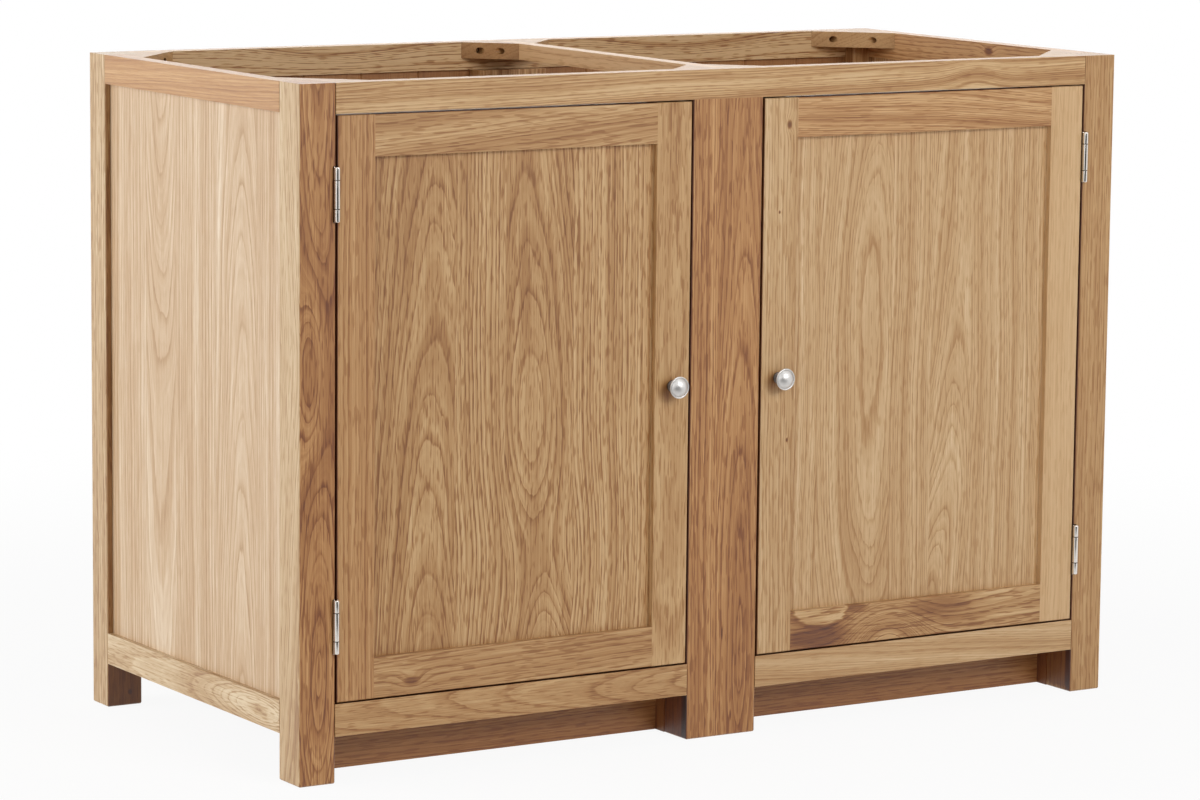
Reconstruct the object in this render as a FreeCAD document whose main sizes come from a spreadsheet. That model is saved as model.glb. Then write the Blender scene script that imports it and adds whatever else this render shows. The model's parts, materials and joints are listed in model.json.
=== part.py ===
# Oak base cabinet: a post-and-rail carcass with two inset frame-and-panel doors on butt hinges.
# Millimetres. +X to the right, -Y to the front, +Z up, origin on the floor under the middle.
# The left half is modelled and the right half is its mirror image.

import FreeCAD
import Part
import Sketcher
import os

# Driving sizes, one cell each
SIZES = {
    # Carcass frame
    "width": 1240,
    "depth": 590,
    "height": 870,
    "post_width": 50,
    "front_post_depth": 54,
    "back_post_depth": 46,
    "stile_width": 106,
    "top_rail_height": 38,
    "bottom_rail_height": 41,
    "foot_height": 59,
    "cross_rail_width": 24,
    "cross_rail_height": 22,
    "post_arris": 1.5,
    # Mortises, tenons and panel grooves of the carcass
    "tenon_thickness": 10,
    "tenon_length": 24,
    "tenon_shoulder": 6,
    "stub_tenon_width": 60,
    "stub_tenon_length": 10,
    "joint_clearance": 0.2,
    "mortise_relief": 1,
    "panel_recess": 8,
    "panel_thickness": 10,
    "groove_depth": 8,
    "panel_float": 0.8,
    "back_board_count": 6,
    "board_joint_depth": 2,
    # Base, plinth and shelves
    "base_thickness": 15,
    "bearer_size": 20,
    "plinth_setback": 75,
    "plinth_thickness": 18,
    "plinth_end_clearance": 4,
    "shelf_height": 430,
    "shelf_thickness": 18,
    "shelf_setback": 32,
    "shelf_clearance": 0.8,
    "peg_diameter": 6,
    "peg_length": 20,
    "peg_edge_distance": 15,
    # Corner blocks
    "block_leg": 86,
    "cross_block_leg": 58,
    "block_thickness": 22,
    "block_bore_edge": 23,
    "cross_block_bore_edge": 19,
    "block_bore_diameter": 9,
    "block_bore_floor": 10,
    # Doors
    "door_gap": 2.5,
    "door_end_gap": 2,
    "door_thickness": 22,
    "door_stile_width": 52,
    "door_rail_height": 52,
    "door_panel_recess": 9,
    "door_panel_thickness": 9,
    "door_groove_depth": 10,
    "door_tenon_length": 35,
    "door_tenon_shoulder": 8,
    "door_arris": 1,
    # Hinges
    "hinge_length": 68,
    "hinge_end_distance": 62,
    "end_knuckle_length": 16,
    "knuckle_gap": 0.4,
    "barrel_diameter": 7,
    "axis_proud": 4.2,
    "leaf_thickness": 1.5,
    "leaf_width": 21,
    "door_leaf_inset": 0.5,
    "leaf_clearance": 0.4,
    "pin_diameter": 3,
    "pin_clearance": 0.05,
    "screw_hole_diameter": 3.2,
    "countersink_diameter": 5.6,
    "screw_hole_end_distance": 11,
    # Knobs
    "knob_diameter": 28.5,
    "knob_projection": 24.5,
    "knob_base_diameter": 15,
    "knob_base_height": 3,
    "knob_neck_diameter": 10.5,
    "knob_rim_thickness": 2.6,
    "knob_rim_lip": 1.2,
    "knob_dome_height": 5,
    "knob_screw_diameter": 4,
    "knob_screw_head": 8,
    "knob_screw_head_height": 2,
    "knob_screw_bite": 11,
    "screw_clearance": 0.05,
    # Magnetic catches
    "catch_width": 44,
    "catch_height": 34,
    "catch_depth": 14,
    "catch_gap": 0.5,
    "catch_arris": 2,
    "strike_width": 38,
    "strike_height": 14,
    "strike_thickness": 1.5,
    "strike_edge": 3,
}

# Sizes and places that follow from the driving ones
PLACES = {
    "left": "-dim.width / 2",
    "front": "(dim.knob_projection - dim.depth) / 2",
    "back": "front + dim.depth",
    "rail_thickness": "dim.door_thickness + dim.strike_thickness + dim.catch_gap",
    "opening_width": "dim.width / 2 - dim.post_width - dim.stile_width / 2",
    "front_rail_length": "dim.width - 2 * dim.post_width",
    "side_rail_length": "dim.depth - dim.front_post_depth - dim.back_post_depth",
    "cross_rail_length": "dim.depth - 2 * rail_thickness",
    "bottom_rail_top": "dim.foot_height + dim.bottom_rail_height",
    "top_rail_low": "dim.height - dim.top_rail_height",
    "grooved_shoulder": "dim.groove_depth + dim.joint_clearance",
    "bottom_tenon_height": "dim.bottom_rail_height - dim.tenon_shoulder - grooved_shoulder",
    "top_tenon_height": "dim.top_rail_height - dim.tenon_shoulder - grooved_shoulder",
    "mortise_depth": "dim.tenon_length + dim.mortise_relief",
    "stub_mortise_depth": "dim.stub_tenon_length + dim.mortise_relief",
    "mortise_width": "dim.tenon_thickness + 2 * dim.joint_clearance",
    "groove_width": "dim.panel_thickness + 2 * dim.joint_clearance",
    "panel_low": "bottom_rail_top - dim.groove_depth",
    "groove_length": "top_rail_low + dim.groove_depth - panel_low",
    "panel_height": "groove_length - dim.panel_float",
    "back_tenon_recess": "rail_thickness - dim.panel_recess - dim.tenon_thickness",
    "back_panel_recess": "rail_thickness - dim.panel_recess - dim.panel_thickness",
    "back_panel_width": "opening_width + 2 * (dim.groove_depth - dim.panel_float)",
    "back_board_width": "back_panel_width / dim.back_board_count",
    "base_low": "bottom_rail_top - dim.base_thickness",
    "block_low": "dim.height - dim.block_thickness",
    "block_reach": "dim.block_leg - dim.block_bore_edge",
    "cross_block_reach": "dim.cross_block_leg - dim.cross_block_bore_edge",
    "door_left": "left + dim.post_width + dim.door_gap",
    "door_width": "opening_width - 2 * dim.door_gap",
    "door_low": "bottom_rail_top + dim.door_end_gap",
    "door_height": "top_rail_low - dim.door_end_gap - door_low",
    "door_rail_length": "door_width - 2 * dim.door_stile_width",
    "door_grooved_shoulder": "dim.door_groove_depth + dim.joint_clearance",
    "door_tenon_height": "dim.door_rail_height - dim.door_tenon_shoulder - door_grooved_shoulder",
    "door_mortise_depth": "dim.door_tenon_length + dim.mortise_relief",
    "door_groove_width": "dim.door_panel_thickness + 2 * dim.joint_clearance",
    "door_groove_length": "door_height - 2 * (dim.door_rail_height - dim.door_groove_depth)",
    "lock_stile_left": "door_left + door_width - dim.door_stile_width",
    "lock_centre": "lock_stile_left + dim.door_stile_width / 2",
    "barrel_radius": "dim.barrel_diameter / 2",
    "post_leaf_inset": "dim.barrel_diameter - dim.door_gap - dim.door_leaf_inset",
    "axis_x": "left + dim.post_width - post_leaf_inset + barrel_radius",
    "axis_y": "front - dim.axis_proud",
    "lower_hinge_low": "door_low + dim.hinge_end_distance",
    "upper_hinge_low": "door_low + door_height - dim.hinge_end_distance - dim.hinge_length",
    "leaf_reach": "dim.leaf_width - dim.axis_proud",
    "leaf_near": "barrel_radius + dim.leaf_clearance",
    "screw_hole_y": "(dim.axis_proud + dim.leaf_width) / 2",
    "knob_z": "door_low + door_height / 2",
    "knob_rim_start": "dim.knob_projection - dim.knob_dome_height - dim.knob_rim_thickness",
    "knob_dome_start": "dim.knob_projection - dim.knob_dome_height",
    "catch_front": "front + rail_thickness",
    "catch_top": "dim.height - dim.block_thickness - dim.catch_gap",
    "strike_low": "door_low + door_height - dim.strike_edge - dim.strike_height",
}

HINGE_HEIGHTS = {"lower": "pos.lower_hinge_low", "upper": "pos.upper_hinge_low"}
UPRIGHT_EDGES = [("x-", "y-"), ("x+", "y-"), ("x-", "y+"), ("x+", "y+")]
FOOT_EDGES = [("z-", "x-"), ("z-", "x+"), ("z-", "y-"), ("z-", "y+")]

# For a board's grain direction: the sketch plane across it, that plane's two axes,
# and whether the board grows backwards from it
SECTIONS = {
    "x": ("YZ_Plane", "y", "z", False),
    "y": ("XZ_Plane", "x", "z", True),
    "z": ("XY_Plane", "x", "y", False),
}
TOUCH = 1e-4

doc = FreeCAD.newDocument("OakBaseCabinet")


def fill_sheet(name, rows, lead):
    sheet = doc.addObject("Spreadsheet::Sheet", name)
    for row, (alias, entry) in enumerate(rows.items(), start=1):
        sheet.set(f"A{row}", alias)
        sheet.set(f"B{row}", f"{lead}{entry}")
        sheet.setAlias(f"B{row}", alias)
    doc.recompute()
    return sheet


dim = fill_sheet("dim", SIZES, "")
pos = fill_sheet("pos", PLACES, "=")


# Sheets, sketches and the plain forms that the pieces are made from

def value(text):
    return float(dim.evalExpression(text))


def place(thing, low):
    for axis, text in zip("xyz", low):
        thing.setExpression(f"Placement.Base.{axis}", text)


def new_body(label, low):
    body = doc.addObject("PartDesign::Body", label)
    body.Label = label
    place(body, low)
    return body


def origin_feature(body, role):
    return next(item for item in body.Origin.OriginFeatures if item.Role == role)


def pin_point(sketch, geometry, end, corner):
    for kind, text in zip(("DistanceX", "DistanceY"), corner):
        rule = Sketcher.Constraint(kind, -1, 1, geometry, end, value(text))
        index = sketch.addConstraint(rule)
        sketch.setExpression(f"Constraints[{index}]", text)


def new_sketch(body, plane):
    sketch = body.newObject("Sketcher::SketchObject", f"{body.Name}_profile")
    sketch.AttachmentSupport = [(origin_feature(body, plane), "")]
    sketch.MapMode = "FlatFace"
    return sketch


def polygon(sketch, corners):
    # A closed run of straight lines through corners, each tied to the sketch's origin
    first = sketch.GeometryCount
    points = [FreeCAD.Vector(value(across), value(up), 0) for across, up in corners]
    for index, point in enumerate(points):
        sketch.addGeometry(Part.LineSegment(point, points[(index + 1) % len(points)]), False)
    for index, corner in enumerate(corners):
        following = first + (index + 1) % len(corners)
        sketch.addConstraint(Sketcher.Constraint("Coincident", first + index, 2, following, 1))
        pin_point(sketch, first + index, 1, corner)


def pad(body, sketch, length, backwards=False):
    feature = body.newObject("PartDesign::Pad", f"{body.Name}_pad")
    feature.Profile = sketch
    feature.Reversed = backwards
    feature.setExpression("Length", length)
    return feature


def board(label, low, size, grain):
    # A squared board with its low corner at low, padded from its section along the grain
    body = new_body(label, low)
    plane, across, up, backwards = SECTIONS[grain]
    wide, tall = size["xyz".index(across)], size["xyz".index(up)]
    sketch = new_sketch(body, plane)
    polygon(sketch, [("0", "0"), (wide, "0"), (wide, tall), ("0", tall)])
    pad(body, sketch, size["xyz".index(grain)], backwards)
    return body


def box_feature(body, kind, low, size):
    feature = body.newObject(f"PartDesign::{kind}Box", f"{body.Name}_{kind.lower()}")
    for name, text in zip(("Length", "Width", "Height"), size):
        feature.setExpression(name, text)
    place(feature, low)
    return feature


def add_tenon(body, low, size):
    return box_feature(body, "Additive", low, size)


def cut(body, low, size):
    return box_feature(body, "Subtractive", low, size)


def cylinder_feature(body, kind, start, along, radius, length):
    feature = body.newObject(f"PartDesign::{kind}Cylinder", f"{body.Name}_{kind.lower()}_round")
    feature.setExpression("Radius", radius)
    feature.setExpression("Height", length)
    turn = FreeCAD.Rotation(FreeCAD.Vector(0, 0, 1), FreeCAD.Vector(*along))
    feature.Placement = FreeCAD.Placement(FreeCAD.Vector(), turn)
    place(feature, start)
    return feature


def drill(body, start, along, radius, length):
    return cylinder_feature(body, "Subtractive", start, along, radius, length)


def lies_on(edge, box, side):
    axis, end = side[0].upper(), "Min" if side[1] == "-" else "Max"
    face = getattr(box, axis + end)
    low, high = getattr(edge.BoundBox, axis + "Min"), getattr(edge.BoundBox, axis + "Max")
    return max(abs(low - face), abs(high - face)) < TOUCH


def ease(body, size, corners):
    # Takes the sharp arris off where the named sides of the newest feature's box meet
    doc.recompute()
    base = body.Tip
    box = base.Shape.BoundBox
    names = []
    for number, edge in enumerate(base.Shape.Edges, start=1):
        if any(all(lies_on(edge, box, side) for side in pair) for pair in corners):
            names.append(f"Edge{number}")
    bevel = body.newObject("PartDesign::Chamfer", f"{body.Name}_arris")
    bevel.Base = (base, names)
    bevel.setExpression("Size", size)
    return bevel


def turned(label, low, along, outline):
    # A turned piece: outline gives (radius, distance along the axis) corners
    body = new_body(label, low)
    body.Placement.Rotation = FreeCAD.Rotation(FreeCAD.Vector(0, 1, 0), FreeCAD.Vector(*along))
    sketch = new_sketch(body, "XY_Plane")
    polygon(sketch, outline)
    spin(body, sketch)
    return body


def spin(body, sketch):
    turn = body.newObject("PartDesign::Revolution", f"{body.Name}_turning")
    turn.Profile = sketch
    turn.ReferenceAxis = (sketch, ["V_Axis"])
    turn.Angle = 360
    return turn


def mirror(source, label):
    twin = doc.addObject("Part::Mirroring", label)
    twin.Label = label
    twin.Source = source
    twin.Normal = FreeCAD.Vector(1, 0, 0)
    return twin


def group(label, members):
    bundle = doc.addObject("Part::Compound", label)
    bundle.Label = label
    bundle.Links = members
    return bundle


def both_sides(label, members):
    return group(label, members + [mirror(member, f"{member.Name}_twin") for member in members])


# Carcass posts

def rail_mortises(post, face, inward, recess):
    # Mortises for the bottom and top rails that meet one face of a post; inward is the axis they run along
    clear = "dim.joint_clearance"
    heights = [
        (f"dim.foot_height + dim.tenon_shoulder - {clear}", f"pos.bottom_tenon_height + 2 * {clear}"),
        (f"pos.top_rail_low + pos.grooved_shoulder - {clear}", f"pos.top_tenon_height + 2 * {clear}"),
    ]
    for low, tall in heights:
        if inward == "x":
            cut(post, (face, f"{recess} - {clear}", low), ("pos.mortise_depth", "pos.mortise_width", tall))
        else:
            cut(post, (f"{recess} - {clear}", face, low), ("pos.mortise_width", "pos.mortise_depth", tall))


def peg_hole(post, start_x, middle_y):
    middle_z = "dim.shelf_height - dim.peg_diameter / 2"
    radius = "dim.peg_diameter / 2 + dim.pin_clearance"
    drill(post, (start_x, middle_y, middle_z), (1, 0, 0), radius, "dim.peg_length / 2")


def front_post():
    post = board("front_post_left", ("pos.left", "pos.front", "0"),
                 ("dim.post_width", "dim.front_post_depth", "dim.height"), "z")
    ease(post, "dim.post_arris", UPRIGHT_EDGES + FOOT_EDGES)
    rail_mortises(post, "dim.post_width - pos.mortise_depth", "x", "dim.panel_recess")
    rail_mortises(post, "dim.front_post_depth - pos.mortise_depth", "y", "dim.panel_recess")
    groove_y = "dim.front_post_depth - dim.groove_depth"
    cut(post, ("dim.panel_recess - dim.joint_clearance", groove_y, "pos.panel_low"),
        ("pos.groove_width", "dim.groove_depth", "pos.groove_length"))
    leaf_seat = ("pos.post_leaf_inset", "pos.leaf_reach + dim.leaf_clearance",
                 "dim.hinge_length + 2 * dim.leaf_clearance")
    for low in HINGE_HEIGHTS.values():
        cut(post, ("dim.post_width - pos.post_leaf_inset", "0", f"{low} - dim.leaf_clearance"), leaf_seat)
    peg_hole(post, "dim.post_width - dim.peg_length / 2", "dim.front_post_depth - dim.peg_edge_distance")
    return post


def back_post():
    post = board("back_post_left", ("pos.left", "pos.back - dim.back_post_depth", "0"),
                 ("dim.post_width", "dim.back_post_depth", "dim.height"), "z")
    ease(post, "dim.post_arris", UPRIGHT_EDGES + FOOT_EDGES)
    rail_mortises(post, "dim.post_width - pos.mortise_depth", "x",
                  "dim.back_post_depth - dim.panel_recess - dim.tenon_thickness")
    rail_mortises(post, "0", "y", "dim.panel_recess")
    cut(post, ("dim.panel_recess - dim.joint_clearance", "0", "pos.panel_low"),
        ("pos.groove_width", "dim.groove_depth", "pos.groove_length"))
    back_panel_groove(post, "dim.post_width - dim.groove_depth")
    peg_hole(post, "dim.post_width - dim.peg_length / 2", "dim.peg_edge_distance")
    return post


def back_panel_groove(post, low_x):
    low_y = "dim.back_post_depth - dim.panel_recess - dim.panel_thickness - dim.joint_clearance"
    cut(post, (low_x, low_y, "pos.panel_low"), ("dim.groove_depth", "pos.groove_width", "pos.groove_length"))


def centre_post(label, low_y, depth, recess, peg_y):
    # The wide middle post, tenoned up into the top rail and mortised on both edges for the bottom rails
    post = board(label, ("-dim.stile_width / 2", low_y, "0"),
                 ("dim.stile_width", depth, "pos.top_rail_low"), "z")
    ease(post, "dim.post_arris", UPRIGHT_EDGES + FOOT_EDGES)
    add_tenon(post, ("(dim.stile_width - dim.stub_tenon_width) / 2", recess, "pos.top_rail_low"),
              ("dim.stub_tenon_width", "dim.tenon_thickness", "dim.stub_tenon_length"))
    low_z = "dim.foot_height + dim.tenon_shoulder - dim.joint_clearance"
    size = ("pos.mortise_depth", "pos.mortise_width", "pos.bottom_tenon_height + 2 * dim.joint_clearance")
    for face in ("0", "dim.stile_width - pos.mortise_depth"):
        cut(post, (face, f"{recess} - dim.joint_clearance", low_z), size)
    for start in ("0", "dim.stile_width - dim.peg_length / 2"):
        peg_hole(post, start, peg_y)
    return post


def centre_stile():
    return centre_post("centre_stile", "pos.front", "dim.front_post_depth", "dim.panel_recess",
                       "dim.front_post_depth - dim.peg_edge_distance")


def centre_back_post():
    recess = "(dim.back_post_depth - dim.panel_recess - dim.tenon_thickness)"
    post = centre_post("centre_back_post", "pos.back - dim.back_post_depth", "dim.back_post_depth", recess,
                       "dim.peg_edge_distance")
    for low_x in ("0", "dim.stile_width - dim.groove_depth"):
        back_panel_groove(post, low_x)
    return post


# Carcass rails

def rail(label, low, along, length, level, recess):
    # A rail with a tenon on each end; level is top or bottom, recess the tenon's place in the thickness
    tall = f"dim.{level}_rail_height"
    size = {"x": (length, "pos.rail_thickness", tall), "y": ("pos.rail_thickness", length, tall)}[along]
    body = board(label, low, size, along)
    shoulder = {"bottom": "dim.tenon_shoulder", "top": "pos.grooved_shoulder"}[level]
    rise = f"pos.{level}_tenon_height"
    for start in ("-dim.tenon_length", length):
        if along == "x":
            add_tenon(body, (start, recess, shoulder), ("dim.tenon_length", "dim.tenon_thickness", rise))
        else:
            add_tenon(body, (recess, start, shoulder), ("dim.tenon_thickness", "dim.tenon_length", rise))
    return body


def panel_groove(body, along, length, level, recess):
    low_z = {"bottom": "dim.bottom_rail_height - dim.groove_depth", "top": "0"}[level]
    inset = f"{recess} - dim.joint_clearance"
    if along == "x":
        cut(body, ("0", inset, low_z), (length, "pos.groove_width", "dim.groove_depth"))
    else:
        cut(body, (inset, "0", low_z), ("pos.groove_width", length, "dim.groove_depth"))


def long_top_rail(label, low_y, recess, inner_y, inward):
    # A full-length top rail: the centre post and the cross rail are let into its middle
    body = rail(label, ("pos.left + dim.post_width", low_y, "pos.top_rail_low"), "x", "pos.front_rail_length",
                "top", recess)
    middle = "pos.front_rail_length / 2"
    half = "(dim.stub_tenon_width / 2 + dim.joint_clearance)"
    cut(body, (f"{middle} - {half}", f"{recess} - dim.joint_clearance", "0"),
        (f"2 * {half}", "pos.mortise_width", "pos.stub_mortise_depth"))
    socket_y = {1: "0", -1: f"{inner_y} - pos.stub_mortise_depth"}[inward]
    socket_z = "dim.top_rail_height - dim.cross_rail_height + dim.tenon_shoulder - dim.joint_clearance"
    socket_tall = "dim.cross_rail_height - 2 * dim.tenon_shoulder + 2 * dim.joint_clearance"
    cut(body, (f"{middle} - pos.mortise_width / 2", socket_y, socket_z),
        ("pos.mortise_width", "pos.stub_mortise_depth", socket_tall))
    return body


def front_top_rail():
    return long_top_rail("front_top_rail", "pos.front", "dim.panel_recess", "pos.rail_thickness", -1)


def back_top_rail():
    body = long_top_rail("back_top_rail", "pos.back - pos.rail_thickness", "pos.back_tenon_recess", "0", 1)
    panel_groove(body, "x", "pos.front_rail_length", "top", "pos.back_panel_recess")
    return body


def front_bottom_rail():
    return rail("front_bottom_rail_left", ("pos.left + dim.post_width", "pos.front", "dim.foot_height"), "x",
                "pos.opening_width", "bottom", "dim.panel_recess")


def back_bottom_rail():
    low = ("pos.left + dim.post_width", "pos.back - pos.rail_thickness", "dim.foot_height")
    body = rail("back_bottom_rail_left", low, "x", "pos.opening_width", "bottom", "pos.back_tenon_recess")
    panel_groove(body, "x", "pos.opening_width", "bottom", "pos.back_panel_recess")
    return body


def side_rail(level, low_z):
    low = ("pos.left", "pos.front + dim.front_post_depth", low_z)
    body = rail(f"side_{level}_rail_left", low, "y", "pos.side_rail_length", level, "dim.panel_recess")
    panel_groove(body, "y", "pos.side_rail_length", level, "dim.panel_recess")
    return body


def cross_rail():
    low = ("-dim.cross_rail_width / 2", "pos.front + pos.rail_thickness",
           "dim.height - dim.cross_rail_height")
    size = ("dim.cross_rail_width", "pos.cross_rail_length", "dim.cross_rail_height")
    body = board("cross_rail", low, size, "y")
    inset = "(dim.cross_rail_width - dim.tenon_thickness) / 2"
    tenon = ("dim.tenon_thickness", "dim.stub_tenon_length", "dim.cross_rail_height - 2 * dim.tenon_shoulder")
    for start in ("-dim.stub_tenon_length", "pos.cross_rail_length"):
        add_tenon(body, (inset, start, "dim.tenon_shoulder"), tenon)
    return body


# Panels, base, plinth and shelves

def side_panel():
    low = ("pos.left + dim.panel_recess",
           "pos.front + dim.front_post_depth - dim.groove_depth + dim.panel_float", "pos.panel_low")
    width = "pos.side_rail_length + 2 * (dim.groove_depth - dim.panel_float)"
    return board("side_panel_left", low, ("dim.panel_thickness", width, "pos.panel_height"), "z")


def back_panel():
    # Vertical boards, shown by a V joint on both faces between each two
    low = ("pos.left + dim.post_width - dim.groove_depth + dim.panel_float",
           "pos.back - dim.panel_recess - dim.panel_thickness", "pos.panel_low")
    size = ("pos.back_panel_width", "dim.panel_thickness", "pos.panel_height")
    body = board("back_panel_left", low, size, "z")
    sketch = new_sketch(body, "XY_Plane")
    middle, half = "pos.back_board_width", "dim.board_joint_depth"
    face, root = "dim.panel_thickness", f"dim.panel_thickness - {half}"
    polygon(sketch, [(f"{middle} - {half}", "0"), (f"{middle} + {half}", "0"), (middle, half)])
    polygon(sketch, [(f"{middle} - {half}", face), (middle, root), (f"{middle} + {half}", face)])
    joint = body.newObject("PartDesign::Pocket", "back_board_joint")
    joint.Profile = sketch
    joint.Reversed = True
    joint.Type = "ThroughAll"
    joints = body.newObject("PartDesign::LinearPattern", "back_board_joints")
    joints.Originals = [joint]
    joints.Direction = (origin_feature(body, "X_Axis"), [""])
    joints.setExpression("Length", "pos.back_board_width * (dim.back_board_count - 2)")
    joints.setExpression("Occurrences", "dim.back_board_count - 1")
    body.Tip = joints
    return body


def base_panel():
    # Half of the floor, notched round the posts
    body = new_body("base_panel_left", ("0", "pos.front", "pos.base_low"))
    clear = "dim.joint_clearance"
    side = f"pos.left + pos.rail_thickness + {clear}"
    post = f"pos.left + dim.post_width + {clear}"
    stile = f"-dim.stile_width / 2 - {clear}"
    front, back = "pos.rail_thickness", "dim.depth - pos.rail_thickness"
    front_notch = f"dim.front_post_depth + {clear}"
    back_notch = f"dim.depth - dim.back_post_depth - {clear}"
    sketch = new_sketch(body, "XY_Plane")
    polygon(sketch, [
        (side, front_notch), (post, front_notch), (post, front), (stile, front), (stile, front_notch),
        ("0", front_notch), ("0", back_notch), (stile, back_notch), (stile, back), (post, back),
        (post, back_notch), (side, back_notch),
    ])
    pad(body, sketch, "dim.base_thickness")
    return body


def base_bearers():
    # Square strips behind the bottom rails, under the floor's front and back edges
    low_x, low_z = "pos.left + dim.post_width", "pos.base_low - dim.bearer_size"
    size = ("pos.opening_width", "dim.bearer_size", "dim.bearer_size")
    front = board("front_bearer", (low_x, "pos.front + pos.rail_thickness", low_z), size, "x")
    back = board("back_bearer", (low_x, "pos.back - pos.rail_thickness - dim.bearer_size", low_z), size, "x")
    return both_sides("base_bearers", [front, back])


def plinth():
    half = "(dim.width / 2 - pos.rail_thickness - dim.plinth_end_clearance)"
    low = (f"-{half}", "pos.front + dim.plinth_setback", "0")
    return board("plinth", low, (f"2 * {half}", "dim.plinth_thickness", "pos.base_low"), "x")


def plinth_blocks():
    # Blocks glued behind the front feet, which the plinth is fixed to
    low_y, depth = "pos.front + dim.front_post_depth", "dim.plinth_setback - dim.front_post_depth"
    inset = "pos.rail_thickness + dim.plinth_end_clearance"
    corner = board("corner_plinth_block", (f"pos.left + {inset}", low_y, "0"),
                   (f"dim.post_width - ({inset})", depth, "pos.base_low"), "z")
    middle = board("middle_plinth_block", ("-dim.stile_width / 2", low_y, "0"),
                   ("dim.stile_width", depth, "pos.base_low"), "z")
    return group("plinth_blocks", [corner, mirror(corner, "corner_plinth_block_twin"), middle])


def shelf():
    low = ("pos.left + dim.post_width + dim.shelf_clearance", "pos.front + dim.shelf_setback",
           "dim.shelf_height")
    depth = "dim.depth - dim.shelf_setback - dim.panel_recess - dim.panel_thickness - dim.shelf_clearance"
    size = ("pos.opening_width - 2 * dim.shelf_clearance", depth, "dim.shelf_thickness")
    body = board("shelf_left", low, size, "x")
    ease(body, "dim.post_arris", [("y-", "z-"), ("y-", "z+")])
    return body


def shelf_pegs():
    start_x = ("pos.left + dim.post_width - dim.peg_length / 2", "-dim.stile_width / 2 - dim.peg_length / 2")
    middle_y = ("pos.front + dim.front_post_depth - dim.peg_edge_distance",
                "pos.back - dim.back_post_depth + dim.peg_edge_distance")
    radius, middle_z = "dim.peg_diameter / 2", "dim.shelf_height - dim.peg_diameter / 2"
    outline = [("0", "0"), (radius, "0"), (radius, "dim.peg_length"), ("0", "dim.peg_length")]
    pegs = []
    for x in start_x:
        for y in middle_y:
            pegs.append(turned(f"shelf_peg_{len(pegs)}", (x, y, middle_z), (1, 0, 0), outline))
    return both_sides("shelf_pegs", pegs)


# Corner blocks: each braces a rail running along X to one running along Y, flush with their tops

def block_corners():
    # Inner corner, the signs of its two legs, their length with the bores' place along them,
    # and the notch that clears a post there
    near, far = "pos.front + pos.rail_thickness", "pos.back - pos.rail_thickness"
    side, cross = "pos.left + pos.rail_thickness", "-dim.cross_rail_width / 2"
    notch_x = "dim.post_width - pos.rail_thickness"
    outer, inner = ("dim.block_leg", "pos.block_reach"), ("dim.cross_block_leg", "pos.cross_block_reach")
    return [
        ("front_corner_block", side, near, 1, 1, outer, (notch_x, "dim.front_post_depth - pos.rail_thickness")),
        ("back_corner_block", side, far, 1, -1, outer, (notch_x, "dim.back_post_depth - pos.rail_thickness")),
        ("front_cross_block", cross, near, -1, 1, inner, None),
        ("back_cross_block", cross, far, -1, -1, inner, None),
    ]


def corner_block(label, corner_x, corner_y, leg_x, leg_y, lengths, notch):
    leg, reach = lengths
    body = new_body(label, (corner_x, corner_y, "pos.block_low"))
    outline = [("0", "0"), (leg, "0"), ("0", leg)]
    if notch:
        outline = [(notch[0], "0"), outline[1], outline[2], ("0", notch[1]), notch]
    sketch = new_sketch(body, "XY_Plane")
    polygon(sketch, [(f"{leg_x} * ({x})", f"{leg_y} * ({y})") for x, y in outline])
    pad(body, sketch, "dim.block_thickness")
    along_x, along_y = f"{leg_x} * {reach}", f"{leg_y} * {reach}"
    middle, floor, radius = "dim.block_thickness / 2", "dim.block_bore_floor", "dim.block_bore_diameter / 2"
    drill(body, (along_x, f"{leg_y} * {floor}", middle), (0, leg_y, 0), radius, leg)
    drill(body, (f"{leg_x} * {floor}", along_y, middle), (leg_x, 0, 0), radius, leg)
    return body


def corner_blocks():
    return both_sides("corner_blocks", [corner_block(*corner) for corner in block_corners()])


# Hinges: unswaged butt hinges, the barrel standing in front of the door's face

def hinge_leaf(label, low_z, plate_x, out, knuckles):
    # Leaf plate with its knuckles, placed on the hinge axis; out is the side that faces the wood
    body = new_body(label, ("pos.axis_x", "pos.axis_y", low_z))
    sketch = new_sketch(body, "XY_Plane")
    far_x = f"{plate_x} + dim.leaf_thickness"
    polygon(sketch, [(plate_x, "pos.leaf_near"), (far_x, "pos.leaf_near"),
                     (far_x, "dim.leaf_width"), (plate_x, "dim.leaf_width")])
    pad(body, sketch, "dim.hinge_length")
    for start, tall in knuckles:
        add_tenon(body, (plate_x, "0", start), ("dim.leaf_thickness", "pos.leaf_near", tall))
        cylinder_feature(body, "Additive", ("0", "0", start), (0, 0, 1), "pos.barrel_radius", tall)
    bore = "dim.pin_diameter / 2 + dim.pin_clearance"
    drill(body, ("0", "0", "0"), (0, 0, 1), bore, "dim.hinge_length")
    inner_x = {-1: far_x, 1: plate_x}[out]
    for hole_z in ("dim.screw_hole_end_distance", "dim.hinge_length - dim.screw_hole_end_distance"):
        sink = body.newObject("PartDesign::SubtractiveCone", f"{label}_countersink")
        sink.setExpression("Radius1", "dim.countersink_diameter / 2")
        sink.setExpression("Radius2", "dim.screw_hole_diameter / 2")
        sink.setExpression("Height", "dim.leaf_thickness")
        turn = FreeCAD.Rotation(FreeCAD.Vector(0, 0, 1), FreeCAD.Vector(out, 0, 0))
        sink.Placement = FreeCAD.Placement(FreeCAD.Vector(), turn)
        place(sink, (inner_x, "pos.screw_hole_y", hole_z))
    return body


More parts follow.
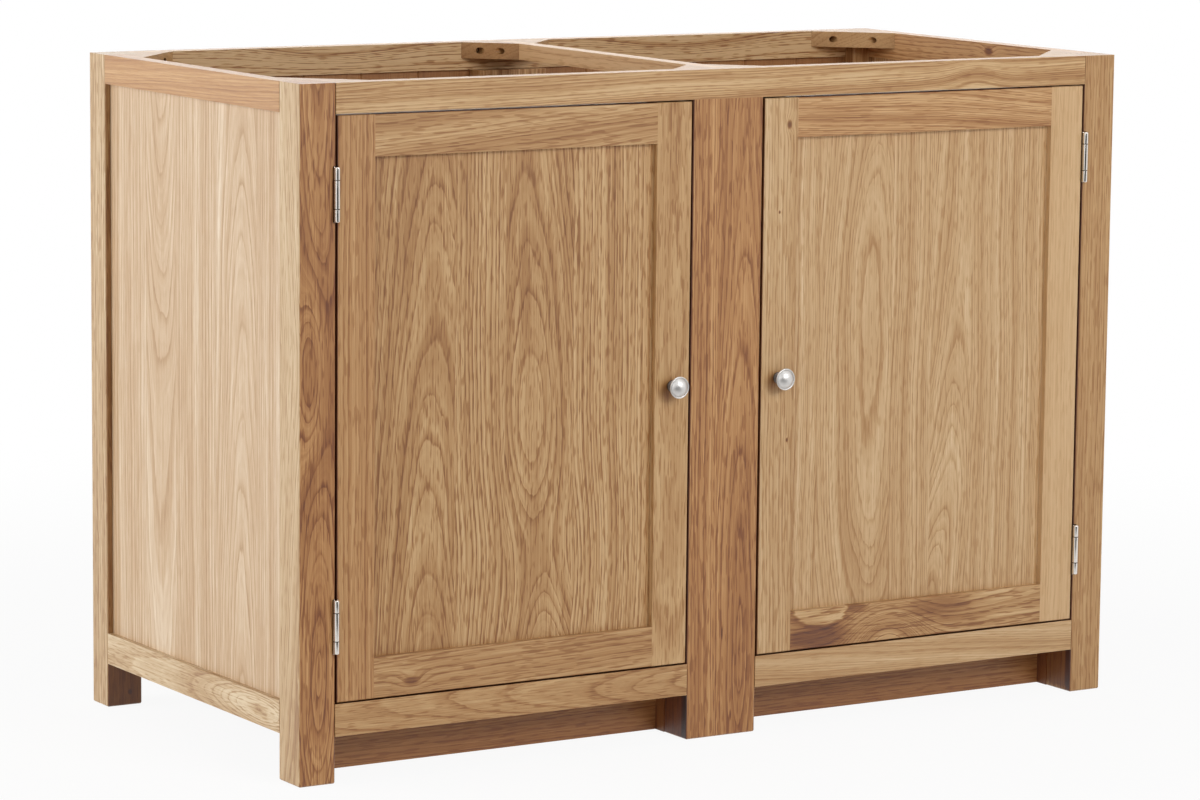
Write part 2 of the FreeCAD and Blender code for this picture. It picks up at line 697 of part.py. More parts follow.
def frame_hinge_leaves():
    knuckles = [("0", "dim.end_knuckle_length"),
                ("dim.hinge_length - dim.end_knuckle_length", "dim.end_knuckle_length")]
    leaves = [hinge_leaf(f"{name}_frame_leaf", low, "-pos.barrel_radius", -1, knuckles)
              for name, low in HINGE_HEIGHTS.items()]
    return group("frame_hinge_leaves_left", leaves)


def door_hinge_leaves():
    start = "dim.end_knuckle_length + dim.knuckle_gap"
    knuckles = [(start, f"dim.hinge_length - 2 * ({start})")]
    leaves = [hinge_leaf(f"{name}_door_leaf", low, "pos.barrel_radius - dim.leaf_thickness", 1, knuckles)
              for name, low in HINGE_HEIGHTS.items()]
    return group("left_door_hinge_leaves", leaves)


def hinge_pins():
    pins = []
    for name, low in HINGE_HEIGHTS.items():
        body = new_body(f"{name}_hinge_pin", ("pos.axis_x", "pos.axis_y", low))
        cylinder_feature(body, "Additive", ("0", "0", "0"), (0, 0, 1), "dim.pin_diameter / 2",
                         "dim.hinge_length")
        pins.append(body)
    return group("hinge_pins_left", pins)


# Doors

def door_stile(label, low_x, inner_edge):
    # inner_edge is + where the panel lies on the stile's +X edge
    stile = board(label, (low_x, "pos.front", "pos.door_low"),
                  ("dim.door_stile_width", "dim.door_thickness", "pos.door_height"), "z")
    outer = {"+": "x-", "-": "x+"}[inner_edge]
    ease(stile, "dim.door_arris", [(outer, "y-"), (outer, "y+"), ("y-", "z-"), ("y-", "z+")])
    face = {"+": "dim.door_stile_width - {0}", "-": "0"}[inner_edge]
    groove_y = "dim.door_panel_recess - dim.joint_clearance"
    cut(stile,
        (face.format("dim.door_groove_depth"), groove_y, "dim.door_rail_height - dim.door_groove_depth"),
        ("dim.door_groove_depth", "pos.door_groove_width", "pos.door_groove_length"))
    tall = "pos.door_tenon_height + 2 * dim.joint_clearance"
    low = "dim.door_tenon_shoulder - dim.joint_clearance"
    for low_z in (low, f"pos.door_height - ({low}) - ({tall})"):
        cut(stile, (face.format("pos.door_mortise_depth"), groove_y, low_z),
            ("pos.door_mortise_depth", "pos.door_groove_width", tall))
    return stile


def door_hinge_stile():
    stile = door_stile("left_door_hinge_stile", "pos.door_left", "+")
    for low in HINGE_HEIGHTS.values():
        local = f"{low} - pos.door_low"
        cut(stile, ("0", "0", f"{local} - dim.leaf_clearance"),
            ("dim.door_leaf_inset", "pos.leaf_reach + dim.leaf_clearance",
             "dim.hinge_length + 2 * dim.leaf_clearance"))
    return stile


def door_lock_stile():
    stile = door_stile("left_door_lock_stile", "pos.lock_stile_left", "-")
    drill(stile, ("dim.door_stile_width / 2", "0", "pos.door_height / 2"), (0, 1, 0),
          "dim.knob_screw_diameter / 2 + dim.screw_clearance", "dim.door_thickness")
    return stile


def door_rail(level):
    low_z = {"top": "pos.door_low + pos.door_height - dim.door_rail_height", "bottom": "pos.door_low"}[level]
    body = board(f"left_door_{level}_rail", ("pos.door_left + dim.door_stile_width", "pos.front", low_z),
                 ("pos.door_rail_length", "dim.door_thickness", "dim.door_rail_height"), "x")
    outer = {"top": "z+", "bottom": "z-"}[level]
    ease(body, "dim.door_arris", [(outer, "y-"), (outer, "y+")])
    shoulder = {"top": "pos.door_grooved_shoulder", "bottom": "dim.door_tenon_shoulder"}[level]
    for start in ("-dim.door_tenon_length", "pos.door_rail_length"):
        add_tenon(body, (start, "dim.door_panel_recess", shoulder),
                  ("dim.door_tenon_length", "dim.door_panel_thickness", "pos.door_tenon_height"))
    groove_z = {"top": "0", "bottom": "dim.door_rail_height - dim.door_groove_depth"}[level]
    cut(body, ("0", "dim.door_panel_recess - dim.joint_clearance", groove_z),
        ("pos.door_rail_length", "pos.door_groove_width", "dim.door_groove_depth"))
    return body


def door_panel():
    overlap = "(dim.door_groove_depth - dim.panel_float)"
    low = (f"pos.door_left + dim.door_stile_width - {overlap}", "pos.front + dim.door_panel_recess",
           "pos.door_low + dim.door_rail_height - dim.door_groove_depth")
    size = (f"pos.door_rail_length + 2 * {overlap}", "dim.door_panel_thickness",
            "pos.door_groove_length - dim.panel_float")
    return board("left_door_panel", low, size, "z")


def door_knob():
    # Turned knob: a foot, a flared neck, a rim and a shallow dome, with its axis square to the door
    body = new_body("left_door_knob", ("pos.lock_centre", "pos.front", "pos.knob_z"))
    base, neck, rim = "dim.knob_base_diameter / 2", "dim.knob_neck_diameter / 2", "dim.knob_diameter / 2"
    lip = f"{rim} - dim.knob_rim_lip"
    foot, flare, crown = "-dim.knob_base_height", "-pos.knob_rim_start", "-pos.knob_dome_start"
    apex = "-dim.knob_projection"
    corners = [("0", "0"), (base, "0"), (base, foot), (neck, foot), (rim, flare), (rim, crown), (lip, crown),
               ("0", apex)]
    points = [FreeCAD.Vector(value(x), value(y), 0) for x, y in corners]
    sketch = new_sketch(body, "XY_Plane")
    flare_index, dome_index = 3, 6
    for index, point in enumerate(points):
        following = points[(index + 1) % len(points)]
        curve = Part.LineSegment(point, following)
        if index == flare_index:
            curve = flare_arc(point, following)
        elif index == dome_index:
            curve = dome_arc(point, following)
        sketch.addGeometry(curve, False)
    # The dome's arc runs from the axis out to the lip, so its ends are the other way round
    starts = [2 if index == dome_index else 1 for index in range(len(points))]
    ends = [1 if index == dome_index else 2 for index in range(len(points))]
    for index, corner in enumerate(corners):
        following = (index + 1) % len(corners)
        join = Sketcher.Constraint("Coincident", index, ends[index], following, starts[following])
        sketch.addConstraint(join)
        pin_point(sketch, index, starts[index], corner)
    sketch.addConstraint(Sketcher.Constraint("Horizontal", flare_index, 3, flare_index, 1))
    sketch.addConstraint(Sketcher.Constraint("PointOnObject", dome_index, 3, -2))
    spin(body, sketch)
    drill(body, ("0", "0", "0"), (0, -1, 0), "dim.knob_screw_diameter / 2 + dim.screw_clearance",
          "dim.knob_screw_bite + dim.mortise_relief")
    return body


def flare_arc(neck, rim):
    # Leaves the neck parallel to the axis and curves out to the rim
    out, along = rim.x - neck.x, rim.y - neck.y
    radius = (out ** 2 + along ** 2) / (2 * out)
    centre = FreeCAD.Vector(neck.x + radius, neck.y, 0)
    bend = Part.Circle(centre, FreeCAD.Vector(0, 0, 1), radius)
    return Part.ArcOfCircle(bend, bend.parameter(neck), bend.parameter(rim))


def dome_arc(lip, apex):
    # Centred on the axis, from the apex out to the lip
    rise = lip.y - apex.y
    radius = (lip.x ** 2 + rise ** 2) / (2 * rise)
    bend = Part.Circle(FreeCAD.Vector(0, apex.y + radius, 0), FreeCAD.Vector(0, 0, 1), radius)
    return Part.ArcOfCircle(bend, bend.parameter(apex), bend.parameter(lip))


def door_knob_screw():
    shank, head = "dim.knob_screw_diameter / 2", "dim.knob_screw_head / 2"
    under = "dim.knob_screw_head_height"
    tip = f"{under} + dim.door_thickness + dim.knob_screw_bite"
    outline = [("0", "0"), (head, "0"), (head, under), (shank, under), (shank, tip), ("0", tip)]
    low = ("pos.lock_centre", f"pos.front + dim.door_thickness + {under}", "pos.knob_z")
    return turned("left_door_knob_screw", low, (0, -1, 0), outline)


def door_strike_plate():
    low = ("pos.lock_centre - dim.strike_width / 2", "pos.front + dim.door_thickness", "pos.strike_low")
    size = ("dim.strike_width", "dim.strike_thickness", "dim.strike_height")
    plate = board("left_door_strike_plate", low, size, "y")
    ease(plate, "dim.catch_arris", [("x-", "z-"), ("x-", "z+"), ("x+", "z-"), ("x+", "z+")])
    return plate


def door_catches():
    # Magnetic catch behind the top rail, facing the strike plate on the door's back
    low = ("pos.lock_centre - dim.catch_width / 2", "pos.catch_front", "pos.catch_top - dim.catch_height")
    catch = board("door_catch", low, ("dim.catch_width", "dim.catch_depth", "dim.catch_height"), "y")
    ease(catch, "dim.catch_arris", [("x-", "y+"), ("x+", "y+"), ("x-", "z-"), ("x+", "z-"), ("z-", "y+")])
    return both_sides("door_catches", [catch])


# Assembly

def make_left_and_middle():
    left = [
        front_post(), back_post(), front_bottom_rail(), back_bottom_rail(),
        side_rail("top", "pos.top_rail_low"), side_rail("bottom", "dim.foot_height"),
        side_panel(), back_panel(), base_panel(), shelf(), frame_hinge_leaves(), hinge_pins(),
        door_hinge_stile(), door_lock_stile(), door_rail("top"), door_rail("bottom"), door_panel(),
        door_knob(), door_knob_screw(), door_strike_plate(), door_hinge_leaves(),
    ]
    middle = [
        centre_stile(), centre_back_post(), front_top_rail(), back_top_rail(), cross_rail(), plinth(),
        base_bearers(), plinth_blocks(), shelf_pegs(), corner_blocks(), door_catches(),
    ]
    return left, middle


def check(nodes):
    for item in doc.Objects:
        if "Invalid" in item.State or "Error" in item.State:
            raise RuntimeError(f"{item.Label} did not rebuild: {item.State}")
    for node in nodes:
        if node.Shape.isNull() or not node.Shape.isValid() or not node.Shape.Solids:
            raise RuntimeError(f"{node.Label} has no valid solid")


left_nodes, middle_nodes = make_left_and_middle()
right_nodes = [mirror(node, node.Label.replace("left", "right")) for node in left_nodes]
doc.recompute()
all_nodes = left_nodes + right_nodes + middle_nodes
check(all_nodes)

os.makedirs("parts", exist_ok=True)
for node in all_nodes:
    node.Shape.exportStep(f"parts/{node.Label}.step")
print(f"{len(all_nodes)} nodes, {sum(len(node.Shape.Solids) for node in all_nodes)} solids")
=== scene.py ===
import bmesh
import bpy
import json
import math
from mathutils import Matrix, Vector


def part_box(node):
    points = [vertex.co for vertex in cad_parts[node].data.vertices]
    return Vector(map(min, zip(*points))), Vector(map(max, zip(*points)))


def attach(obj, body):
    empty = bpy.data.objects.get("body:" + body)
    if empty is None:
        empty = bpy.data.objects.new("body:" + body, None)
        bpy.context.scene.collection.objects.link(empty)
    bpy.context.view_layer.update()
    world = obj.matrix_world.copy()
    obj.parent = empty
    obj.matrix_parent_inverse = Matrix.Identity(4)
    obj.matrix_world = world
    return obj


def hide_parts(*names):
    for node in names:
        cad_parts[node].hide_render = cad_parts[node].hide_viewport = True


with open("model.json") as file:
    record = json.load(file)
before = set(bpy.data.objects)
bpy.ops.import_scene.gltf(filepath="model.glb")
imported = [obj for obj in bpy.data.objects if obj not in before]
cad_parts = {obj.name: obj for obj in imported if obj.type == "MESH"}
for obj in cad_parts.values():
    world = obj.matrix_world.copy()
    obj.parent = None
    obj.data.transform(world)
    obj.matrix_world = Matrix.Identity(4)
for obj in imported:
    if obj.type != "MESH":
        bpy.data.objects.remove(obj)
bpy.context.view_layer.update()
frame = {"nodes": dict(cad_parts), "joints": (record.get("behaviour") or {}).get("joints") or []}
nodes = frame["nodes"]
scene = bpy.context.scene
scene.view_settings.view_transform = "Standard"
print("frame:", len(nodes), "nodes")

# Camera, at the height and angle from which the cabinet was seen
cameraSizes = {
    "place": (-3.247, -5.243, 1.306),
    "yaw": 0.5524,  # to the right of straight ahead
    "pitch": 0.1450,  # downwards
    "roll": 0.010,
    "focalPixels": 4640,
    "pictureWidth": 1200,
    "sensorWidth": 36,
}


def addCamera(sizes):
    lens = bpy.data.cameras.new("viewCamera")
    lens.sensor_width = sizes["sensorWidth"]
    lens.lens = sizes["focalPixels"] / sizes["pictureWidth"] * sizes["sensorWidth"]
    yaw, pitch, roll = sizes["yaw"], sizes["pitch"], sizes["roll"]
    level = math.cos(pitch)
    forward = Vector((math.sin(yaw) * level, math.cos(yaw) * level, -math.sin(pitch)))
    right = Vector((math.cos(yaw), -math.sin(yaw), 0))
    up = right.cross(forward)
    tiltedRight = right * math.cos(roll) + up * math.sin(roll)
    tiltedUp = up * math.cos(roll) - right * math.sin(roll)
    turn = Matrix((tiltedRight, tiltedUp, -forward)).transposed().to_4x4()
    camera = bpy.data.objects.new("viewCamera", lens)
    camera.matrix_world = Matrix.Translation(sizes["place"]) @ turn
    scene.collection.objects.link(camera)
    scene.camera = camera


addCamera(cameraSizes)
print("camera set")


# A socket that takes part in sums, and adds a Math node for each
class Wire:
    def __init__(self, tree, socket):
        self.tree = tree
        self.socket = socket

    def math(self, operation, *others):
        return self.tree.add("ShaderNodeMath", {"operation": operation}, dict(enumerate((self, *others))))

    def __add__(self, other):
        return self.math("ADD", other)

    def __sub__(self, other):
        return self.math("SUBTRACT", other)

    def __rsub__(self, other):
        return self.tree.add("ShaderNodeMath", {"operation": "SUBTRACT"}, {0: other, 1: self})

    def __mul__(self, other):
        return self.math("MULTIPLY", other)

    def __truediv__(self, other):
        return self.math("DIVIDE", other)

    def __pow__(self, other):
        return self.math("POWER", other)

    def __gt__(self, other):
        return self.math("GREATER_THAN", other)

    __radd__ = __add__
    __rmul__ = __mul__

    def out(self, name):
        return Wire(self.tree, self.socket.node.outputs[name])

    def ease(self, low, high):  # 0 at low, 1 at high, smooth between
        sockets = {"Value": self, "From Min": low, "From Max": high}
        return self.tree.add("ShaderNodeMapRange", {"interpolation_type": "SMOOTHSTEP"}, sockets)


# The nodes of one material, world or shape
class Tree:
    def __init__(self, nodeTree):
        self.nodeTree = nodeTree
        nodeTree.nodes.clear()

    def add(self, kind, settings, sockets, output=0):
        node = self.nodeTree.nodes.new(kind)
        for name, value in settings.items():
            setattr(node, name, value)
        for name, value in sockets.items():
            wires = value if isinstance(value, list) else [value]
            for wire in wires:
                if isinstance(wire, Wire):
                    self.nodeTree.links.new(wire.socket, node.inputs[name])
                else:
                    node.inputs[name].default_value = wire
        return Wire(self, node.outputs[output]) if node.outputs else None

    def mix(self, amount, first, second, blend="MIX"):
        sockets = {"Factor": amount, 6: first, 7: second}
        return self.add("ShaderNodeMix", {"data_type": "RGBA", "blend_type": blend}, sockets, 2)

    def noise(self, point, scale, detail=2):
        placed = self.add("ShaderNodeMapping", {}, {"Vector": point, "Scale": scale})
        return self.add("ShaderNodeTexNoise", {}, {"Vector": placed, "Scale": 1, "Detail": detail})


def newLook(name):
    look = bpy.data.materials.new(name)
    look.use_nodes = True
    return look, Tree(look.node_tree)


def finishLook(tree, sockets):
    shader = tree.add("ShaderNodeBsdfPrincipled", {}, sockets)
    tree.add("ShaderNodeOutputMaterial", {}, {"Surface": shader})


def rgb(red, green, blue):
    return (red, green, blue, 1)


# Oak: growth rings round a pith line that runs near or far from each stave
oakTones = {  # the palest wood of a board
    # ivory and sand are paler tones for the boards that face left: painted sheen of the light from the left
    "ivory": rgb(0.663, 0.492, 0.320),
    "sand": rgb(0.600, 0.430, 0.242),
    "cream": rgb(0.700, 0.470, 0.250),
    "straw": rgb(0.650, 0.434, 0.227),
    "honey": rgb(0.562, 0.338, 0.148),
    "tawny": rgb(0.545, 0.302, 0.122),
    "russet": rgb(0.505, 0.252, 0.088),
}
oakPigment = rgb(0.55, 0.39, 0.235)  # what one measure of pigment leaves of the light
oakNoise = {  # scales across the board, into it and along its grain, and the detail
    "stray": ((7, 7, 2.1), 1),
    "wave": ((38, 38, 7), 1),
    "fray": ((260, 260, 46), 1),
    "fleck": ((1300, 1300, 75), 0),
    "dash": ((500, 500, 48), 0),
    "fibre": ((620, 620, 7), 1),
    "cloud": ((24, 24, 2.2), 2),
}
oakSizes = {
    "boardStep": 3.7,  # how far apart boards and staves lie in the noise
    "staveStep": 1.9,
    "ringWidth": 0.0062,
    "wander": 0.016,  # how far the pith strays
    "wave": 0.0045,  # how far a ring strays
    "fray": 0.0010,
    "paceScale": 0.31,  # slow and fast years come in turns
    "paceShift": 2.2,
    "paceDark": 0.55,
    "lines": 0.85,  # how dark the early wood is
    "yearStart": 0.08,  # its first share of a year, and how it fades
    "yearFade": 3,
    "flatFade": 5,
    "yearLeast": 0.5,  # some years are darker
    "yearRange": 0.7,
    "streaks": 620,  # fine lines beside it, to the metre
    "streakAlong": 9,
    "streakDark": 1.0,
    "flatStreak": 0.6,
    "dashDark": 0.5,  # pores
    "dashEarly": 0.2,
    "dashEdge": (0.58, 0.74),
    "fleckEdge": (0.55, 0.75),
    "fibreDark": 0.5,
    "flatFibre": 0.4,
    "cloudDark": 0.6,
    "plainDark": 0.12,
    "palest": -0.3,
    "knotWave": 0.6,  # how ragged a stain is
    "knotFray": 0.3,
    "outerSkin": (0.0003, 0.0012),  # how deep the outer side's painted sheen goes
    "outerCalm": 0.5,
    "gapDark": 2.4,  # painted shade on the edges in the door gaps, from the front arris
    "gapSide": (0.0012, 0.0006),
    "gapFront": (0.0001, 0.0010),
    "gapBack": (0.008, 0.014),
    "roughness": 0.47,
    "fleckRough": 0.15,
    "cloudRough": 0.1,
    "coat": 0.4,
    "cloudCoat": 0.1,
    "coatRoughness": 0.42,
    "poreDepth": 0.00035,
    "poreStrength": 0.5,
    "fibreHeight": 0.25,
}


# A stave begins at a place across the board; its pith lies beside and behind it, and may rise, bow or slant
def stave(start, pith, depth, rise=0.0, bow=0.0, slant=0.0, light=0.0):
    place = {"start": start, "pith": pith, "depth": depth}
    return {**place, "rise": rise, "bow": bow, "slant": slant, "light": light}


# A swirl, a stain or a patch of painted shade in a board: crisp where its core is near 1, at one depth where a
# depth is given
def knot(across, along, wide, long, push, dark, core=0.25, depth=None):
    sizes = {"across": across, "along": along, "wide": wide, "long": long}
    return {**sizes, "push": push, "dark": dark, "core": core, "depth": depth}


# Rings swell round a swirl, and a stain darkens or bleaches the wood; the crisp dark ones at edges are painted
# shade
def addKnots(knots, across, along, depth, radius, ragged):
    stainAndShade = 0
    for spot in knots:
        wide = (across - spot["across"]) / spot["wide"]
        long = (along - spot["along"]) / spot["long"]
        reach = wide * wide + long * long
        if spot["depth"] is not None:
            deep = (depth - spot["depth"]) / spot["wide"]
            reach = reach + deep * deep
        reach = reach ** 0.5
        if spot["push"]:
            radius = radius + (reach * reach * -0.5).math("EXPONENT") * spot["push"]
        if spot["dark"]:
            stainAndShade = (1 - (reach + ragged).ease(spot["core"], 1.0)) * spot["dark"] + stainAndShade
    return radius, stainAndShade


def oakLook(name, board, seed):
    low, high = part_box(name)
    middle, half = (low + high) / 2, (high - low) / 2
    sizes = dict(oakSizes, **board.get("sizes", {}))
    look, tree = newLook("oak." + name)
    place = tree.add("ShaderNodeTexCoord", {}, {}, "Object")
    axes = tree.add("ShaderNodeSeparateXYZ", {}, {"Vector": place})
    fromMiddle = {axis: axes.out(axis.upper()) - middle["xyz".index(axis)] for axis in "xyz"}
    acrossAxis = "xyz".replace(board["grain"], "").replace(board["face"], "")
    along, depth, across = [fromMiddle[axis] for axis in (board["grain"], board["face"], acrossAxis)]
    staves = board["staves"]
    steps = [across > part["start"] for part in staves[1:]]

    def perStave(values):
        total = values[0]
        for step, before, after in zip(steps, values, values[1:]):
            if after != before:
                total = step * (after - before) + total
        return total

    def staveValue(key):
        return perStave([part[key] for part in staves])

    offsets = [seed * sizes["boardStep"] + index * sizes["staveStep"] for index in range(len(staves))]
    grain = along + perStave(offsets)
    point = tree.add("ShaderNodeCombineXYZ", {}, {"X": across, "Y": depth, "Z": grain})
    field = {key: tree.noise(point, *noise) for key, noise in oakNoise.items()}
    stray = tree.add("ShaderNodeSeparateColor", {}, {"Color": field["stray"].out("Color")})
    wave, fray, fibre, cloud = [field[key] - 0.5 for key in ("wave", "fray", "fibre", "cloud")]
    fleck = field["fleck"].ease(*sizes["fleckEdge"])

    # How far a point lies from the pith
    away = depth + staveValue("depth") + along * staveValue("rise") + along * along * staveValue("bow")
    away = away + (stray.out("Red") - 0.5) * sizes["wander"]
    side = across - staveValue("pith") + along * staveValue("slant")
    side = side + (stray.out("Green") - 0.5) * sizes["wander"]
    radius = (side * side + away * away) ** 0.5 + wave * sizes["wave"] + fray * sizes["fray"]
    ragged = wave * sizes["knotWave"] + fray * sizes["knotFray"]
    radius, stainAndShade = addKnots(board.get("knots", []), across, along, depth, radius, ragged)
    level = 1 - side.math("ABSOLUTE") / radius  # 1 where the rings lie flat in the face

    # Years, each of which starts with porous, dark wood
    rings = radius / sizes["ringWidth"]
    flow = {"W": rings * sizes["paceScale"] + seed, "Scale": 1, "Detail": 0}
    pace = tree.add("ShaderNodeTexNoise", {"noise_dimensions": "1D"}, flow)
    rings = rings + pace * sizes["paceShift"]
    number = rings.math("FLOOR")
    share = rings - number
    strength = tree.add("ShaderNodeTexWhiteNoise", {"noise_dimensions": "1D"}, {"W": number + seed})
    fade = level * level * sizes["flatFade"] + sizes["yearFade"]
    early = share.ease(0, sizes["yearStart"]) * (1 - share) ** fade
    line = early * (strength * sizes["yearRange"] + sizes["yearLeast"])
    dash = (field["dash"] + early * sizes["dashEarly"]).ease(*sizes["dashEdge"])
    beside = {"X": radius * sizes["streaks"], "Y": grain * sizes["streakAlong"]}
    beside = {"Vector": tree.add("ShaderNodeCombineXYZ", {}, beside), "Scale": 1, "Detail": 2}
    streak = tree.add("ShaderNodeTexNoise", {"noise_dimensions": "2D"}, beside) - 0.5

    # Pigment darkens the board's own tone
    pigment = line * sizes["lines"] + dash * sizes["dashDark"]
    pigment = pigment + streak * (1.0 - level * sizes["flatStreak"]) * sizes["streakDark"]
    pigment = pigment + fibre * (level * sizes["flatFibre"] + sizes["fibreDark"])
    pigment = pigment + (pace - 0.5) * sizes["paceDark"] + cloud * sizes["cloudDark"]
    pigment = pigment * board.get("contrast", 1) + stainAndShade
    pigment = pigment + (sizes["plainDark"] - board.get("light", 0)) - staveValue("light")
    pale = oakTones[board["tone"]]
    if "outerTone" in board:  # the outer side of the board is paler: painted sheen of the light from the left
        outerFace = 1 - (fromMiddle["x"] + half.x).ease(*sizes["outerSkin"])
        pigment = pigment * (1 - outerFace * sizes["outerCalm"]) - outerFace * board["outerLight"]
        pale = tree.mix(outerFace, pale, oakTones[board["outerTone"]])
    # Painted shade on the edge faces in the door gaps, from just behind the front to about a centimetre deep
    if "gaps" in board:  # 0 where both edges lie in a gap, and otherwise the side that does
        reach = half["xyz".index(acrossAxis)]
        behind = fromMiddle["y"] + half.y
        outward = across * board["gaps"] if board["gaps"] else across.math("ABSOLUTE")
        gapShade = outward.ease(*[reach - step for step in sizes["gapSide"]]) * behind.ease(*sizes["gapFront"])
        pigment = gapShade * (1 - behind.ease(*sizes["gapBack"])) * sizes["gapDark"] + pigment
    tint = {"Color": oakPigment, "Gamma": pigment.math("MAXIMUM", sizes["palest"])}
    relief = fibre * sizes["fibreHeight"] - fleck
    bump = {"Height": relief, "Distance": sizes["poreDepth"], "Strength": sizes["poreStrength"]}
    finishLook(tree, {
        "Base Color": tree.mix(1.0, pale, tree.add("ShaderNodeGamma", {}, tint), "MULTIPLY"),
        "Roughness": sizes["roughness"] + fleck * sizes["fleckRough"] + cloud * sizes["cloudRough"],
        "Normal": tree.add("ShaderNodeBump", {}, bump),
        "Coat Weight": sizes["coat"] + cloud * sizes["cloudCoat"],
        "Coat Roughness": sizes["coatRoughness"],
    })
    return look


def straight(lean=0.24, depth=0.04, **more):
    return [stave(0, lean, depth, **more)]


def upright(face, tone, staves, **more):
    return {"grain": "z", "face": face, "tone": tone, "staves": staves, **more}


def lengthwise(face, tone, staves, **more):
    return {"grain": "x", "face": face, "tone": tone, "staves": staves, **more}


def crosswise(face, tone, staves, **more):
    return {"grain": "y", "face": face, "tone": tone, "staves": staves, **more}


sideStaves = [
    stave(0, -0.40, 0.04),
    stave(-0.170, -0.130, 0.055, rise=0.06, light=0.02),
    stave(-0.060, 0.30, 0.06, light=-0.02),
    stave(0.055, 0.095, 0.075, rise=-0.07, bow=-0.05, light=0.01),
    stave(0.140, 0.42, 0.03, light=0.03),
]
backStaves = [
    stave(0, -0.35, 0.05, light=-0.05),
    stave(-0.1771, -0.120, 0.06, rise=0.07, light=0.10),
    stave(-0.0886, 0.24, 0.05, light=-0.12),
    stave(0.0, 0.060, 0.05, rise=-0.06, light=0.16),
    stave(0.0886, 0.40, 0.05, light=-0.02),
    stave(0.1771, 0.10, 0.05, light=-0.18),
]
boardStaves = [
    stave(0, -0.36, 0.06),
    stave(-0.150, -0.090, 0.05, rise=0.05, light=0.04),
    stave(-0.030, 0.25, 0.05, light=-0.03),
    stave(0.090, 0.150, 0.06, rise=-0.06, light=0.03),
    stave(0.190, 0.45, 0.04),
]
leftPanelStaves = [
    stave(0, -0.118, 0.062, rise=0.085, light=-0.06),
    stave(-0.085, 0.200, 0.035, rise=0.01, light=0.16),
    stave(-0.012, 0.0275, 0.055, rise=0.06, slant=0.063, light=-0.01),
    stave(0.087, 0.330, 0.050, rise=0.015, light=0.16),
]
rightPanelStaves = [
    stave(0, -0.420, 0.050, light=0.02),
    stave(-0.160, -0.076, 0.045, bow=0.20, light=-0.02),
    stave(-0.044, 0.190, 0.050, rise=-0.02, light=0.03),
    stave(0.022, 0.0626, 0.050, rise=0.06, bow=-0.20, slant=-0.098, light=-0.02),
    stave(0.085, 0.360, 0.040, light=0.04),
]
sideSizes = {"dashDark": 0.15, "streakDark": 1.25, "lines": 0.95}
fineSizes = {"dashDark": 0.25, "ringWidth": 0.0045}
knobShade = knot(-0.006, -0.005, 0.020, 0.020, 0, 1.2, core=0.0)  # soft shade on the stile round a knob
